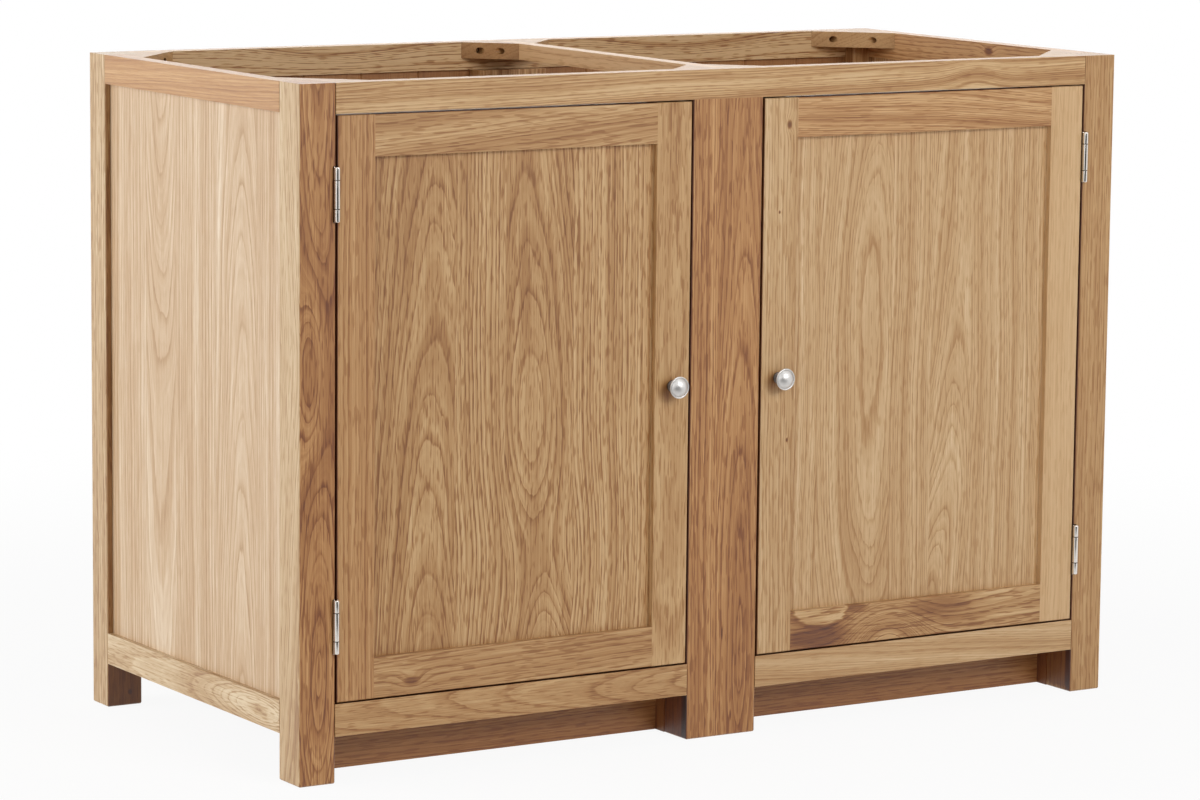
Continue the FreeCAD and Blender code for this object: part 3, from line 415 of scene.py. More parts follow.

# Each board's place in this list seeds its grain
# Crisp dark stains at an edge are painted shade in a gap or a slot, beside a hinge or beside a foot
oakBoards = {
    "front_post_left": upright(
        "y", "russet", [stave(0, 0.002, 0.052, rise=0.035, bow=-0.16)],
        contrast=1.4, light=-0.04, gaps=1, outerTone="sand", outerLight=-0.02,
        knots=[
            # painted shade beside the two hinges
            knot(0.0228, -0.237, 0.0020, 0.035, 0, 2.0, core=0.8),
            knot(0.0228, 0.299, 0.0020, 0.035, 0, 2.0, core=0.8),
            knot(-0.0086, 0.0835, 0.013, 0.075, 0.030, 0.2),
        ],
    ),
    "front_post_right": upright(
        "y", "honey", straight(0.11, 0.05), contrast=0.75, light=-0.02, gaps=-1,
        # painted shade on the inner face by the foot
        knots=[knot(-0.025, -0.386, 0.0012, 0.050, 0, 1.3, core=0.85)],
    ),
    "back_post_left": upright(
        "x", "sand", straight(0.12, 0.05), light=0.06,
        knots=[
            # painted shade at the foot and along the slot beside the side panel
            knot(-0.023, -0.420, 0.0016, 0.080, 0, 1.0, core=0.85),
            knot(-0.023, 0.030, 0.0010, 0.600, 0, 0.9, core=0.9),
            knot(-0.023, -0.4174, 0.0040, 0.005, 0, 2.0, depth=0.0076),
        ],
    ),
    "back_post_right": upright("x", "honey", straight(-0.14, 0.05)),
    "centre_stile": upright(
        "y", "russet",
        [
            stave(0, -0.190, 0.050, slant=0.01),
            stave(-0.010, 0.026, 0.050, rise=0.060, bow=-0.05, light=-0.03),
        ],
        contrast=1.25, gaps=0,
        knots=[
            knot(0.000, -0.285, 0.002, 0.012, 0.002, 1.8),
            knot(0.015, -0.395, 0.002, 0.010, 0.002, 1.8),
            # painted shade on the side face by the foot
            knot(-0.053, -0.386, 0.0008, 0.040, 0, 1.8, core=0.85),
        ],
    ),
    "centre_back_post": upright("y", "honey", straight(0.16, 0.05)),
    "front_top_rail": lengthwise(
        "y", "honey", straight(0.09, 0.03, slant=-0.02), contrast=1.15, light=0.14, gaps=-1, sizes=fineSizes,
        knots=[knot(-0.005, 0.389, 0.016, 0.030, 0.012, 0.1)],
    ),
    "back_top_rail": lengthwise(
        "y", "honey", straight(-0.10, 0.05, slant=0.01), contrast=1.7, light=0.66,
        knots=[
            knot(0.030, -0.260, 0.024, 0.090, 0.030, 0.1),
            knot(0.030, 0.284, 0.022, 0.080, 0.026, 0.1),
        ],
    ),
    "front_bottom_rail_left": lengthwise(
        "y", "honey", [stave(0, 0.006, 0.055, rise=-0.075, slant=0.03)], gaps=1,
    ),
    "front_bottom_rail_right": lengthwise(
        "y", "straw", [stave(0, 0.06, 0.050, rise=-0.04, slant=0.04)],
        contrast=0.65, light=-0.04, gaps=1, sizes=fineSizes,
    ),
    "back_bottom_rail_left": lengthwise("y", "honey", straight(0.10, 0.05)),
    "back_bottom_rail_right": lengthwise("y", "honey", straight(-0.12, 0.05)),
    "side_top_rail_left": crosswise(
        "x", "tawny", straight(0.06, 0.05, slant=0.05),
        contrast=0.8, sizes={"dashDark": 0.1, "ringWidth": 0.0045},
    ),
    "side_top_rail_right": crosswise(
        "x", "russet", straight(-0.08, 0.05), light=0.45,
        knots=[knot(0.008, -0.045, 0.007, 0.012, 0.008, 2.0)],
    ),
    "side_bottom_rail_left": crosswise(
        "x", "sand", [stave(0, -0.004, 0.045, rise=0.12, bow=-0.25)], light=0.12,
    ),
    "side_bottom_rail_right": crosswise("x", "honey", straight(0.08, 0.05)),
    "cross_rail": crosswise("z", "tawny", straight(0.09, 0.04), light=0.55, contrast=0.6),
    # darkened as painted shade under the cabinet
    "plinth": lengthwise("y", "russet", straight(0.10, 0.05), light=-0.3),
    "side_panel_left": upright("x", "ivory", sideStaves, contrast=0.8, sizes=sideSizes),
    "side_panel_right": upright("x", "cream", sideStaves, contrast=0.8, sizes=sideSizes),
    "back_panel_left": upright("y", "tawny", backStaves, contrast=0.3, light=-0.48),
    "back_panel_right": upright("y", "tawny", backStaves, contrast=0.3, light=-0.48),
    "base_panel_left": lengthwise("z", "tawny", boardStaves),
    "base_panel_right": lengthwise("z", "tawny", boardStaves),
    "base_bearers": crosswise("x", "tawny", straight(0.2, 0.05)),
    # darkened as painted shade under the cabinet
    "plinth_blocks": upright("y", "russet", straight(0.3, 0.05), light=-1.0),
    "shelf_left": lengthwise("z", "honey", boardStaves),
    "shelf_right": lengthwise("z", "honey", boardStaves),
    "corner_blocks": lengthwise(
        "z", "honey", straight(0.0, 0.4), contrast=0.45,
        # painted shade on one block
        knots=[knot(0.235, -0.045, 0.070, 0.060, 0, 0.35, core=0.9)],
    ),
    "left_door_hinge_stile": upright("y", "tawny", straight(-0.13, 0.04), contrast=0.85, gaps=-1),
    "left_door_lock_stile": upright(
        "y", "honey", [stave(0, 0.002, 0.065, rise=-0.02, bow=0.05)], light=0.08, gaps=1,
        knots=[knobShade],
    ),
    "left_door_top_rail": lengthwise(
        "y", "honey", [stave(0, 0.050, 0.040, slant=-0.09)], contrast=0.95, light=-0.06, gaps=1,
    ),
    "left_door_bottom_rail": lengthwise(
        "y", "honey", [stave(0, -0.045, 0.040, slant=-0.04)], light=-0.12, gaps=-1,
        knots=[knot(-0.009, -0.150, 0.009, 0.016, 0.012, 1.2)],
    ),
    "left_door_panel": upright(
        "y", "honey", leftPanelStaves, contrast=1.2,
        knots=[
            knot(0.016, 0.135, 0.013, 0.100, 0, 0.5),
            knot(0.036, -0.215, 0.080, 0.085, 0.024, 0),
            knot(0.094, 0.195, 0.004, 0.045, 0.002, 0.7),
        ],
    ),
    "right_door_hinge_stile": upright(
        "y", "cream", straight(0.14, 0.05), contrast=0.28, light=0.03, gaps=1,
    ),
    "right_door_lock_stile": upright(
        "y", "straw", straight(-0.12, 0.05), contrast=0.75, gaps=-1,
        knots=[
            knot(0.0125, 0.329, 0.005, 0.008, 0.006, 2.0),
            knot(-0.001, 0.216, 0.0022, 0.003, 0.002, 2.2),
            knot(0.0156, -0.083, 0.0022, 0.004, 0.002, 2.2),
            knobShade,
        ],
    ),
    "right_door_top_rail": lengthwise(
        "y", "tawny", [stave(0, 0.055, 0.045, slant=0.06, bow=-0.215)], contrast=1.2, light=0.14, gaps=1,
        sizes={"ringWidth": 0.0034, "wave": 0.0025, "dashDark": 0.3},
    ),
    "right_door_bottom_rail": lengthwise(
        "y", "honey", [stave(0, 0.030, 0.050, rise=0.05)], contrast=1.4, light=-0.2, gaps=-1,
        knots=[
            knot(-0.029, -0.048, 0.031, 0.038, 0.070, -0.2),
            knot(-0.014, -0.165, 0.026, 0.080, 0, 1.4),
            knot(0.022, -0.096, 0.010, 0.022, 0, 1.0),
            knot(0.014, 0.035, 0.020, 0.070, 0, 0.8),
            knot(0.010, 0.155, 0.045, 0.090, 0, -0.35),
            knot(0.027, -0.155, 0.033, 0.060, 0, 1.1, core=0.6),
            knot(0.027, -0.155, 0.024, 0.046, 0, -1.7, core=0.85),
        ],
    ),
    "right_door_panel": upright(
        "y", "straw", rightPanelStaves, contrast=0.85, light=0.04,
        sizes={"wander": 0.026, "ringWidth": 0.0042, "streaks": 1000, "streakDark": 0.8, "dashDark": 0.35},
    ),
}

for seed, (name, board) in enumerate(oakBoards.items()):
    look = oakLook(name, board, seed)
    for socket in nodes[name].material_slots:
        socket.material = look
print("oak boards:", len(oakBoards))

# Satin steel of the knobs, hinges, pegs and screws
steelSizes = {
    "brush": ((90, 90, 1400), 3),
    "smear": ((210, 210, 210), 3),
    "brushShare": 0.8,
    "darkest": 0.86,
    "scuff": 0.06,
    "brushDepth": 0.000006,
    "brushStrength": 0.3,
    "neckShade": 0.85,
    "pastBarrel": (0.0036, 0.0039),  # painted shade from here round the pin
    "pastFront": (0.0050, 0.0060),  # and bright again from here behind it
    "seam": (0.0003, 0.0008),
}
steelFinishes = {
    "satinSteel": {"shade": (0.78, 0.76, 0.74), "roughness": 0.17},
    "hingeSteel": {"shade": (0.80, 0.76, 0.71), "roughness": 0.17},
    "turnedSteel": {"shade": (0.71, 0.69, 0.67), "roughness": 0.44},
}
paintedSteelShade = rgb(0.10, 0.075, 0.06)  # painted shade on the necks of knobs, in the seams of hinge barrels and on the edges of their leaves


# A neck gets painted shade between two places behind the front; a hinge gets painted shade at its seams, which
# are heights on its pin, and on its leaves beside the barrel
def steelLook(name, neck=None, pin=None, seams=()):
    sizes, finish = steelSizes, steelFinishes[name]
    look, tree = newLook(name)
    place = tree.add("ShaderNodeTexCoord", {}, {}, "Object")
    brush = tree.noise(place, *sizes["brush"]) - 0.5
    smear = tree.noise(place, *sizes["smear"]) - 0.5
    darkest = [part * sizes["darkest"] for part in finish["shade"]]
    wear = (brush * sizes["brushShare"] + smear + 0.5).ease(0, 1)
    colour = tree.mix(wear, rgb(*darkest), rgb(*finish["shade"]))
    axes = tree.add("ShaderNodeSeparateXYZ", {}, {"Vector": place})
    if neck:
        colour = tree.mix(axes.out("Y").ease(*neck) * sizes["neckShade"], colour, paintedSteelShade)
    if pin:
        aside = axes.out("X").math("ABSOLUTE") - abs(pin.x)
        ahead = axes.out("Y") - pin.y
        fromPin = (aside * aside + ahead * ahead) ** 0.5
        barrelShade = fromPin.ease(*sizes["pastBarrel"]) * (1 - ahead.ease(*sizes["pastFront"]))
        for height in seams:
            rise = axes.out("Z") - height
            barrelShade = barrelShade + (1 - rise.math("ABSOLUTE").ease(*sizes["seam"]))
        colour = tree.mix(barrelShade.math("MINIMUM", 1), colour, paintedSteelShade)
    bump = {"Height": brush, "Distance": sizes["brushDepth"], "Strength": sizes["brushStrength"]}
    finishLook(tree, {
        "Base Color": colour,
        "Metallic": 1,
        "Roughness": finish["roughness"] + brush * sizes["scuff"] + smear * sizes["scuff"],
        "Normal": tree.add("ShaderNodeBump", {}, bump),
    })
    return look


# Brown moulded plastic of the catches
plasticSizes = {
    "grit": ((900, 900, 900), 3),
    "cloud": ((60, 60, 60), 2),
    "dark": rgb(0.060, 0.032, 0.018),
    "pale": rgb(0.105, 0.058, 0.034),
    "roughness": 0.55,
    "gritRough": 0.2,
    "gritDepth": 0.0001,
    "gritStrength": 0.5,
}


def plasticLook(name, sizes):
    look, tree = newLook(name)
    place = tree.add("ShaderNodeTexCoord", {}, {}, "Object")
    grit = tree.noise(place, *sizes["grit"]) - 0.5
    bump = {"Height": grit, "Distance": sizes["gritDepth"], "Strength": sizes["gritStrength"]}
    finishLook(tree, {
        "Base Color": tree.mix(tree.noise(place, *sizes["cloud"]), sizes["dark"], sizes["pale"]),
        "Roughness": sizes["roughness"] + grit * sizes["gritRough"],
        "Normal": tree.add("ShaderNodeBump", {}, bump),
    })
    return look


steel = steelLook("satinSteel")
catchPlastic = plasticLook("catchPlastic", plasticSizes)
for name, node in nodes.items():
    if name not in oakBoards:
        for socket in node.material_slots:
            socket.material = catchPlastic if name == "door_catches" else steel
print("metal and plastic set")


# Hardware is turned and cut from these shapes
def addPiece(name, mesh, body, look, *stoodFor):
    piece = bpy.data.objects.new(name, mesh)
    scene.collection.objects.link(piece)
    if not mesh.materials:
        mesh.materials.append(look)
    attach(piece, body)
    if stoodFor:
        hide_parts(*stoodFor)


def toMesh(shape, name, sharpAngle=35):
    bmesh.ops.remove_doubles(shape, verts=shape.verts, dist=1e-6)
    bmesh.ops.recalc_face_normals(shape, faces=shape.faces)
    mesh = bpy.data.meshes.new(name)
    shape.to_mesh(mesh)
    shape.free()
    mesh.shade_smooth()
    mesh.set_sharp_from_angle(angle=math.radians(sharpAngle))
    return mesh


def arc(centre, radius, start, stop, count):
    angles = [math.radians(start + (stop - start) * step / count) for step in range(count + 1)]
    return [(centre[0] + radius * math.cos(angle), centre[1] + radius * math.sin(angle)) for angle in angles]


# Spins a profile of (radius, height) points; a closed one makes a ring with a bore
def turned(shape, profile, place, axis, turns, closed=False):
    turn = Vector(axis).to_track_quat("Z", "Y").to_matrix()
    rings = []
    for radius, height in profile:
        spokes = turns if radius > 0 else 1
        angles = [math.tau * spoke / turns for spoke in range(spokes)]
        points = [Vector((radius * math.cos(angle), radius * math.sin(angle), height)) for angle in angles]
        rings.append([shape.verts.new(place + turn @ point) for point in points])
    if closed:
        rings.append(rings[0])
    for lower, upper in zip(rings, rings[1:]):
        for step in range(turns):
            following = step + 1
            corners = (lower[step % len(lower)], lower[following % len(lower)],
                       upper[following % len(upper)], upper[step % len(upper)])
            shape.faces.new(dict.fromkeys(corners))


# Knobs: foot, waisted neck, beaded rim and dome
knobSizes = {
    "footRadius": 0.0075,
    "footHeight": 0.0030,
    "neckRadius": 0.00525,
    "neckHeight": 0.0050,
    "neckShade": (0.00725, 0.01125),  # painted shade on the neck, this far behind the dome's top
    "flareSteps": 9,
    "rimRadius": 0.01425,
    "rimHeight": 0.0182,
    "beadRadius": 0.0011,
    "beadSweep": (-80, 185),
    "beadSteps": 16,
    "grooveHeight": 0.0184,
    "domeRadius": 0.0120,
    "domeFoot": 0.0189,
    "domeTop": 0.0245,
    "domeSteps": 14,
    "edge": 0.0004,
    "turns": 64,
}


def knobProfile(sizes):
    foot, height, edge = sizes["footRadius"], sizes["footHeight"], sizes["edge"]
    neck, neckHeight = sizes["neckRadius"], sizes["neckHeight"]
    bead = (sizes["rimRadius"] - sizes["beadRadius"], sizes["rimHeight"])
    profile = [(0, 0), (foot - edge, 0), (foot, edge), (foot, height - edge), (foot - edge, height)]
    profile += [(neck + 2 * edge, height + edge / 2), (neck + edge / 2, height + 2 * edge)]
    rise = bead[1] - sizes["beadRadius"] - neckHeight
    for step in range(sizes["flareSteps"] + 1):
        angle = math.radians(90 * step / sizes["flareSteps"])
        profile.append((neck + (bead[0] - neck) * (1 - math.cos(angle)), neckHeight + rise * math.sin(angle)))
    profile += arc(bead, sizes["beadRadius"], *sizes["beadSweep"], sizes["beadSteps"])
    profile.append((sizes["domeRadius"] + edge / 2, sizes["grooveHeight"]))
    cap = sizes["domeTop"] - sizes["domeFoot"]
    ball = (sizes["domeRadius"] ** 2 + cap ** 2) / (2 * cap)
    edgeAngle = math.degrees(math.acos(sizes["domeRadius"] / ball))
    profile += arc((0, sizes["domeTop"] - ball), ball, edgeAngle, 90, sizes["domeSteps"])[:-1]
    return profile + [(0, sizes["domeTop"])]


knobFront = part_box("left_door_knob")[0].y
knobSteel = steelLook("turnedSteel", neck=[knobFront + step for step in knobSizes["neckShade"]])
for side in ("left", "right"):
    low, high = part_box(f"{side}_door_knob")
    foot = Vector(((low.x + high.x) / 2, high.y, (low.z + high.z) / 2))
    shape = bmesh.new()
    turned(shape, knobProfile(knobSizes), foot, (0, -1, 0), knobSizes["turns"])
    addPiece(f"knob.{side}", toMesh(shape, f"knob.{side}"), f"{side}_door", knobSteel, f"{side}_door_knob")
print("knobs turned")

# Butt hinges: two end knuckles on the frame leaf and a long one on the door leaf
hingeSizes = {
    "length": 0.068,
    "barrelRadius": 0.0035,
    "boreRadius": 0.00155,
    "endKnuckle": 0.016,
    "gap": 0.0004,
    "tipRound": 0.0016,  # the outer ends of the barrel
    "edgeRound": 0.00025,
    "roundSteps": 6,
    "leafNear": 0.0020,  # from the pin to the inner face of a leaf
    "leafFar": 0.0035,
    "leafFront": 0.0009,  # behind the pin
    "leafBack": 0.0210,
    "holeBehindPin": 0.0126,
    "holeFromEnd": 0.011,
    "holeRadius": 0.0016,
    "sinkRadius": 0.0028,
    "sinkTurns": 24,
    "turns": 40,
}


def knuckle(shape, place, low, high, lowRound, highRound, sizes):
    outer, bore, count = sizes["barrelRadius"], sizes["boreRadius"], sizes["roundSteps"]
    profile = [(bore, low)] + arc((outer - lowRound, low + lowRound), lowRound, -90, 0, count)
    profile += arc((outer - highRound, high - highRound), highRound, 0, 90, count) + [(bore, high)]
    turned(shape, profile, place, (0, 0, 1), sizes["turns"], closed=True)


def evaluated(piece):
    return bpy.data.meshes.new_from_object(piece.evaluated_get(bpy.context.evaluated_depsgraph_get()))


def cutFrom(plate, tool):
    blanks = [bpy.data.objects.new("blank", mesh) for mesh in (plate, tool)]
    for blank in blanks:
        scene.collection.objects.link(blank)
    cut = blanks[0].modifiers.new("cut", "BOOLEAN")
    cut.operation = "DIFFERENCE"
    cut.solver = "EXACT"
    cut.object = blanks[1]
    result = evaluated(blanks[0])
    for blank in blanks:
        bpy.data.objects.remove(blank)
    return result


def hingeHoles(pin, low, sizes):
    ends = (low + sizes["holeFromEnd"], low + sizes["length"] - sizes["holeFromEnd"])
    return [Vector((pin.x, pin.y + sizes["holeBehindPin"], height)) for height in ends]


def leafMesh(pin, low, outward, sizes):
    near, far = sorted(pin.x + outward * sizes[key] for key in ("leafNear", "leafFar"))
    front, back = pin.y + sizes["leafFront"], pin.y + sizes["leafBack"]
    shape = bmesh.new()
    size = Vector((far - near, back - front, sizes["length"]))
    middle = Vector(((near + far) / 2, (front + back) / 2, low + sizes["length"] / 2))
    bmesh.ops.create_cube(shape, size=1, matrix=Matrix.Translation(middle) @ Matrix.Diagonal(size).to_4x4())
    rounding = {"offset": sizes["edgeRound"], "segments": 2, "profile": 0.5}
    bmesh.ops.bevel(shape, geom=shape.edges[:], affect="EDGES", **rounding)
    plate = toMesh(shape, "leaf")
    sinks = bmesh.new()
    thickness = sizes["leafFar"] - sizes["leafNear"]
    spare = thickness / 2  # the cutter stands out of both faces
    steep = (sizes["sinkRadius"] - sizes["holeRadius"]) / thickness
    profile = [(0, -spare), (sizes["sinkRadius"] + steep * spare, -spare)]
    profile += [(sizes["holeRadius"] - steep * spare, thickness + spare), (0, thickness + spare)]
    for hole in hingeHoles(pin, low, sizes):
        seat = hole + Vector((outward * sizes["leafNear"], 0, 0))
        turned(sinks, profile, seat, (outward, 0, 0), sizes["sinkTurns"])
    return cutFrom(plate, toMesh(sinks, "sinks"))


def joined(meshes, name):
    shape = bmesh.new()
    for mesh in meshes:
        shape.from_mesh(mesh)
    return toMesh(shape, name)


def hingeSeams(bases, sizes):
    seam = sizes["endKnuckle"] + sizes["gap"] / 2
    return [height for base in bases for height in (base + seam, base + sizes["length"] - seam)]


pins = {joint["child"]: Vector((*joint["pos_m"][:2], 0)) for joint in frame["joints"]}
hingeLow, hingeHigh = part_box("frame_hinge_leaves_left")
hingeBases = (hingeLow.z, hingeHigh.z - hingeSizes["length"])
hingeSteel = steelLook("hingeSteel", pin=pins["left_door"], seams=hingeSeams(hingeBases, hingeSizes))
screwSpots = {"cabinet": [], "left_door": [], "right_door": []}
for door, pin in pins.items():
    side = door.split("_")[0]
    outward = -1 if side == "left" else 1
    frameLeaves, doorLeaves = [], []
    for base in hingeBases:
        top = base + hingeSizes["length"]
        inner, tip, edge = hingeSizes["endKnuckle"], hingeSizes["tipRound"], hingeSizes["edgeRound"]
        ends = bmesh.new()
        knuckle(ends, pin, base, base + inner, tip, edge, hingeSizes)
        knuckle(ends, pin, top - inner, top, edge, tip, hingeSizes)
        frameLeaves += [toMesh(ends, "ends"), leafMesh(pin, base, outward, hingeSizes)]
        long = bmesh.new()
        inner += hingeSizes["gap"]
        knuckle(long, pin, base + inner, top - inner, edge, edge, hingeSizes)
        doorLeaves += [toMesh(long, "long"), leafMesh(pin, base, -outward, hingeSizes)]
        for hole in hingeHoles(pin, base, hingeSizes):
            step = Vector((outward * hingeSizes["leafNear"], 0, 0))
            screwSpots["cabinet"].append((hole + step, (-outward, 0, 0), "hinge"))
            screwSpots[door].append((hole - step, (outward, 0, 0), "hinge"))
    addPiece(f"frameHinges.{side}", joined(frameLeaves, f"frameHinges.{side}"), "cabinet", hingeSteel,
             f"frame_hinge_leaves_{side}")
    addPiece(f"doorHinges.{side}", joined(doorLeaves, f"doorHinges.{side}"), door, hingeSteel,
             f"{side}_door_hinge_leaves")
print("hinges made")

# Corner block screws, two in each block, on the floors of its bores
blockSizes = {
    "thickness": 0.022,
    "boreDepth": 0.010,  # from the rail to the bore's floor
    "outerReach": 0.063,  # from the corner to the bore's middle
    "crossReach": 0.039,
}


def blockScrews(sizes):
    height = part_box("corner_blocks")[1].z - sizes["thickness"] / 2
    outerCorner = (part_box("side_top_rail_left")[1].x, 1, sizes["outerReach"])
    crossCorner = (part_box("cross_rail")[0].x, -1, sizes["crossReach"])
    frontFace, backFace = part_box("front_top_rail")[1].y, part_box("back_top_rail")[0].y
    deep = sizes["boreDepth"]
    spots = []
    for side in (1, -1):  # the left half, then its mirror
        for wall, inwardX, reach in (outerCorner, crossCorner):
            for face, inwardY in ((frontFace, 1), (backFace, -1)):
                toRail = Vector((side * (wall + inwardX * reach), face + inwardY * deep, height))
                toWall = Vector((side * (wall + inwardX * deep), face + inwardY * reach, height))
                spots += [(toRail, (0, inwardY, 0), "block"), (toWall, (side * inwardX, 0, 0), "block")]
    return spots


screwSpots["cabinet"] += blockScrews(blockSizes)
screwSizes = {
    "hinge": {"Head Radius": 0.0026, "Head Height": 0.0014, "Shank Radius": 0.0013, "Shank Length": 0.010},
    "block": {"Head Radius": 0.0038, "Head Height": 0.0026, "Shank Radius": 0.0019, "Shank Length": 0.012},
}
screwShape = {
    "headSides": 24,
    "shankSides": 16,
    "slotLong": 1.15,  # in radii of the head
    "slotWide": 0.26,
    "shankTop": 0.9,  # in heights of the head
}


# A countersunk screw with a cross recess, set on every point along its aim
def screwTree(shape):
    group = bpy.data.node_groups.new("woodScrews", "GeometryNodeTree")
    group.interface.new_socket("Points", in_out="INPUT", socket_type="NodeSocketGeometry")
    for name in screwSizes["hinge"]:
        group.interface.new_socket(name, in_out="INPUT", socket_type="NodeSocketFloat")
    group.interface.new_socket("Metal", in_out="INPUT", socket_type="NodeSocketMaterial")
    group.interface.new_socket("Screws", in_out="OUTPUT", socket_type="NodeSocketGeometry")
    tree = Tree(group)
    points = tree.add("NodeGroupInput", {}, {}, "Points")
    head, deep = points.out("Head Radius"), points.out("Head Height")
    shank, long = points.out("Shank Radius"), points.out("Shank Length")

    def moved(mesh, height):
        place = tree.add("ShaderNodeCombineXYZ", {}, {"Z": height})
        return tree.add("GeometryNodeTransform", {}, {"Geometry": mesh, "Translation": place})

    cone = {"Vertices": shape["headSides"], "Radius Top": head, "Radius Bottom": shank, "Depth": deep}
    top = moved(tree.add("GeometryNodeMeshCone", {}, cone), deep * -1)
    slotLong, slotWide = head * shape["slotLong"], head * shape["slotWide"]
    slots = []
    for wide, narrow in ((slotLong, slotWide), (slotWide, slotLong)):
        size = tree.add("ShaderNodeCombineXYZ", {}, {"X": wide, "Y": narrow, "Z": deep})
        slots.append(tree.add("GeometryNodeMeshCube", {}, {"Size": size}))
    cut = tree.add("GeometryNodeMeshBoolean", {"operation": "DIFFERENCE"}, {"Mesh 1": top, "Mesh 2": slots})
    rod = {"Vertices": shape["shankSides"], "Radius": shank, "Depth": long}
    rod = moved(tree.add("GeometryNodeMeshCylinder", {}, rod), deep * -shape["shankTop"] - long * 0.5)
    screw = tree.add("GeometryNodeJoinGeometry", {}, {"Geometry": [cut, rod]})
    aim = tree.add("GeometryNodeInputNamedAttribute", {"data_type": "FLOAT_VECTOR"}, {"Name": "aim"})
    turn = tree.add("FunctionNodeAlignRotationToVector", {"axis": "Z"}, {"Vector": aim})
    dots = tree.add("GeometryNodeMeshToPoints", {}, {"Mesh": points})
    placed = {"Points": dots, "Instance": screw, "Rotation": turn}
    placed = tree.add("GeometryNodeInstanceOnPoints", {}, placed)
    real = tree.add("GeometryNodeRealizeInstances", {}, {"Geometry": placed})
    shiny = tree.add("GeometryNodeSetMaterial", {}, {"Geometry": real, "Material": points.out("Metal")})
    tree.add("NodeGroupOutput", {}, {"Screws": shiny})
    return group


def screwMesh(group, spots, sizes):
    mesh = bpy.data.meshes.new("screwPoints")
    mesh.from_pydata([place for place, aim, kind in spots], [], [])
    aims = mesh.attributes.new("aim", "FLOAT_VECTOR", "POINT")
    for entry, (place, aim, kind) in zip(aims.data, spots):
        entry.vector = aim
    carrier = bpy.data.objects.new("screwPoints", mesh)
    scene.collection.objects.link(carrier)
    maker = carrier.modifiers.new("screws", "NODES")
    maker.node_group = group
    sockets = {item.name: item.identifier for item in group.interface.items_tree if item.in_out == "INPUT"}
    for name, value in dict(sizes, Metal=steel).items():
        maker[sockets[name]] = value
    made = evaluated(carrier)
    carrier.modifiers.remove(maker)
    bpy.data.objects.remove(carrier)
    return made


woodScrews = screwTree(screwShape)
for body, spots in screwSpots.items():
    meshes = []
    for kind, sizes in screwSizes.items():
        chosen = [spot for spot in spots if spot[2] == kind]
        if chosen:
            meshes.append(screwMesh(woodScrews, chosen, sizes))
    addPiece(f"screws.{body}", joined(meshes, f"screws.{body}"), body, steel)
print("screws set:", sum(len(spots) for spots in screwSpots.values()))

# Floor, world and lamps
stageSizes = {
    "floorReach": 40,
    "floorPaint": 0.86,
    "floorGlow": 0.92,
    "floorFar": (0.9, 2.4),  # from here on the floor is plain white
    "ambient": 0.28,
    "roomSide": (-0.23, -1, 0.1),  # a darker room lies that way
    "roomEdge": (0.72, 0.92),
    "roomFloor": (0.5, 1.5),
    "roomLight": 0.10,
}
lamps = {
    "leftSoftbox": {"place": (-5.4, 2.2, 1.6), "aim": (-0.6, 0, 0.45), "size": (4.2, 3.0), "radiance": 5.0},
    "leftFill": {"place": (-3.6, -3.4, 2.0), "aim": (-0.3, -0.2, 0.45), "size": (2.6, 2.2), "radiance": 1.4},
    "frontSoftbox": {"place": (0.85, -4.0, 2.3), "aim": (0, -0.2, 0.45), "size": (2.0, 1.6), "radiance": 7.1},
    "backSoftbox": {"place": (2.6, 4.2, 1.7), "aim": (0, 0, 0.8), "size": (3.4, 2.0), "radiance": 1.7},
    "topSoftbox": {"place": (0.2, 0.2, 3.4), "aim": (0, 0, 0.5), "size": (2.6, 2.6), "radiance": 0.7},
}


def grey(level):
    return rgb(level, level, level)


def roomAhead(tree, sight, sizes):
    sight = tree.add("ShaderNodeVectorMath", {"operation": "NORMALIZE"}, {0: sight})
    sides = {0: sight, 1: Vector(sizes["roomSide"]).normalized()}
    ahead = tree.add("ShaderNodeVectorMath", {"operation": "DOT_PRODUCT"}, sides, "Value")
    return ahead.ease(*sizes["roomEdge"])


def whereSeen(tree):
    rays = tree.add("ShaderNodeLightPath", {}, {}, "Is Camera Ray")
    seen = rays.math("MAXIMUM", rays.out("Is Glossy Ray"))
    return seen.math("MAXIMUM", rays.out("Is Transmission Ray"))


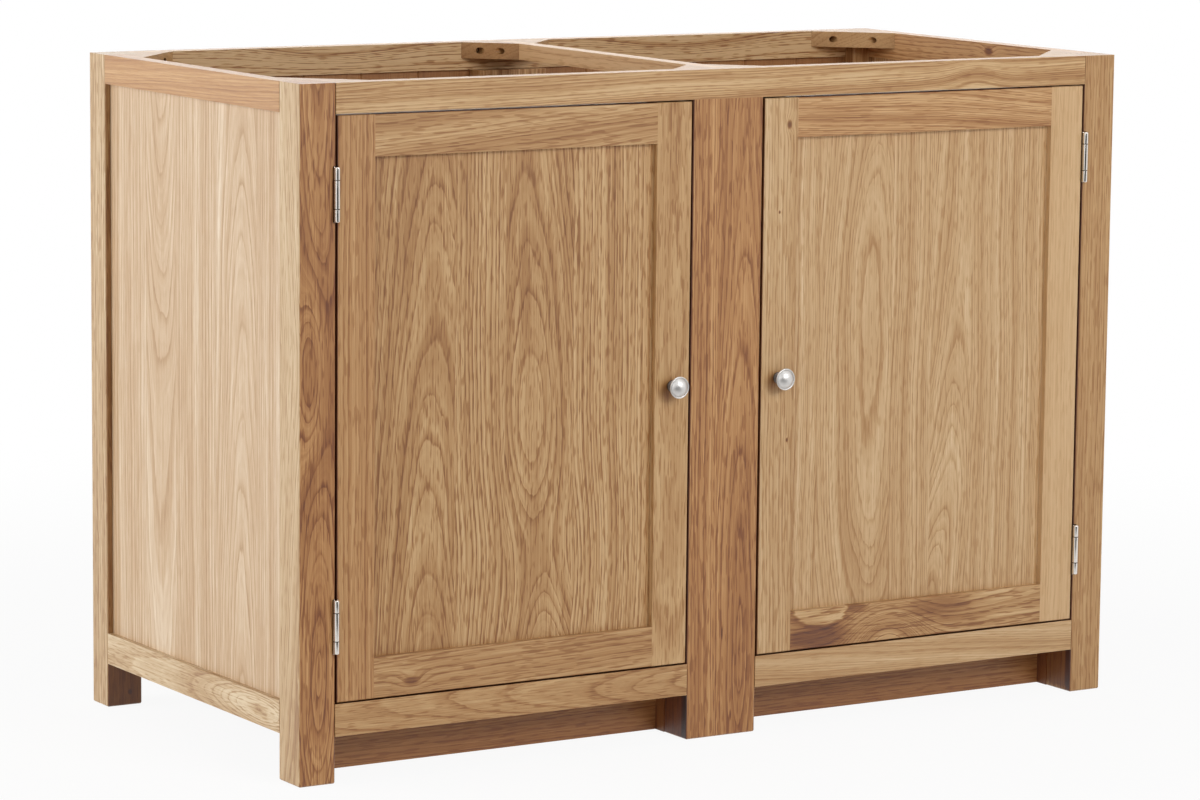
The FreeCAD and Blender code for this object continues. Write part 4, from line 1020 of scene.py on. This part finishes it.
def addFloor(sizes):
    reach = sizes["floorReach"]
    mesh = bpy.data.meshes.new("studioFloor")
    corners = [(-reach, -reach, 0), (reach, -reach, 0), (reach, reach, 0), (-reach, reach, 0)]
    mesh.from_pydata(corners, [], [(0, 1, 2, 3)])
    floor = bpy.data.objects.new("studioFloor", mesh)
    scene.collection.objects.link(floor)
    look, tree = newLook("paleFloor")
    place = tree.add("ShaderNodeTexCoord", {}, {}, "Object")
    depth = tree.add("ShaderNodeSeparateXYZ", {}, {"Vector": place}).out("Y")
    shine = tree.add("ShaderNodeLightPath", {}, {}, "Is Glossy Ray")
    room = roomAhead(tree, place, sizes) * (depth * -1).ease(*sizes["roomFloor"]) * shine
    paint = tree.mix(room, grey(sizes["floorPaint"]), grey(sizes["roomLight"]))
    paint = tree.add("ShaderNodeBsdfDiffuse", {}, {"Color": paint})
    glow = tree.add("ShaderNodeEmission", {}, {"Color": grey(1), "Strength": 1})
    away = tree.add("ShaderNodeVectorMath", {"operation": "LENGTH"}, {0: place}, "Value")
    bright = away.ease(*sizes["floorFar"]) * (1 - sizes["floorGlow"]) + sizes["floorGlow"]
    amount = whereSeen(tree) * (1 - room) * bright
    surface = tree.add("ShaderNodeMixShader", {}, {0: amount, 1: paint, 2: glow})
    tree.add("ShaderNodeOutputMaterial", {}, {"Surface": surface})
    mesh.materials.append(look)


# White all round to the eye; what shines sees white too, but a darker room at the front
def lightWorld(sizes):
    world = bpy.data.worlds.new("studioWorld")
    world.use_nodes = True
    scene.world = world
    tree = Tree(world.node_tree)
    shine = tree.add("ShaderNodeLightPath", {}, {}, "Is Glossy Ray")
    sight = tree.add("ShaderNodeTexCoord", {}, {}, "Generated")
    room = roomAhead(tree, sight, sizes) * shine
    ambient = tree.add("ShaderNodeBackground", {}, {"Color": grey(1), "Strength": sizes["ambient"]})
    shown = tree.mix(room, grey(1), grey(sizes["roomLight"]))
    backdrop = tree.add("ShaderNodeBackground", {}, {"Color": shown, "Strength": 1})
    surface = tree.add("ShaderNodeMixShader", {}, {0: whereSeen(tree), 1: ambient, 2: backdrop})
    tree.add("ShaderNodeOutputWorld", {}, {"Surface": surface})


def addLamp(name, sizes):
    light = bpy.data.lights.new(name, "AREA")
    light.shape = "RECTANGLE"
    light.size, light.size_y = sizes["size"]
    light.energy = sizes["radiance"] * math.pi * light.size * light.size_y
    lamp = bpy.data.objects.new(name, light)
    place = Vector(sizes["place"])
    turn = (Vector(sizes["aim"]) - place).to_track_quat("-Z", "Y").to_matrix().to_4x4()
    lamp.matrix_world = Matrix.Translation(place) @ turn
    lamp.visible_camera = False
    scene.collection.objects.link(lamp)


addFloor(stageSizes)
lightWorld(stageSizes)
for name, sizes in lamps.items():
    addLamp(name, sizes)
print("stage lit")
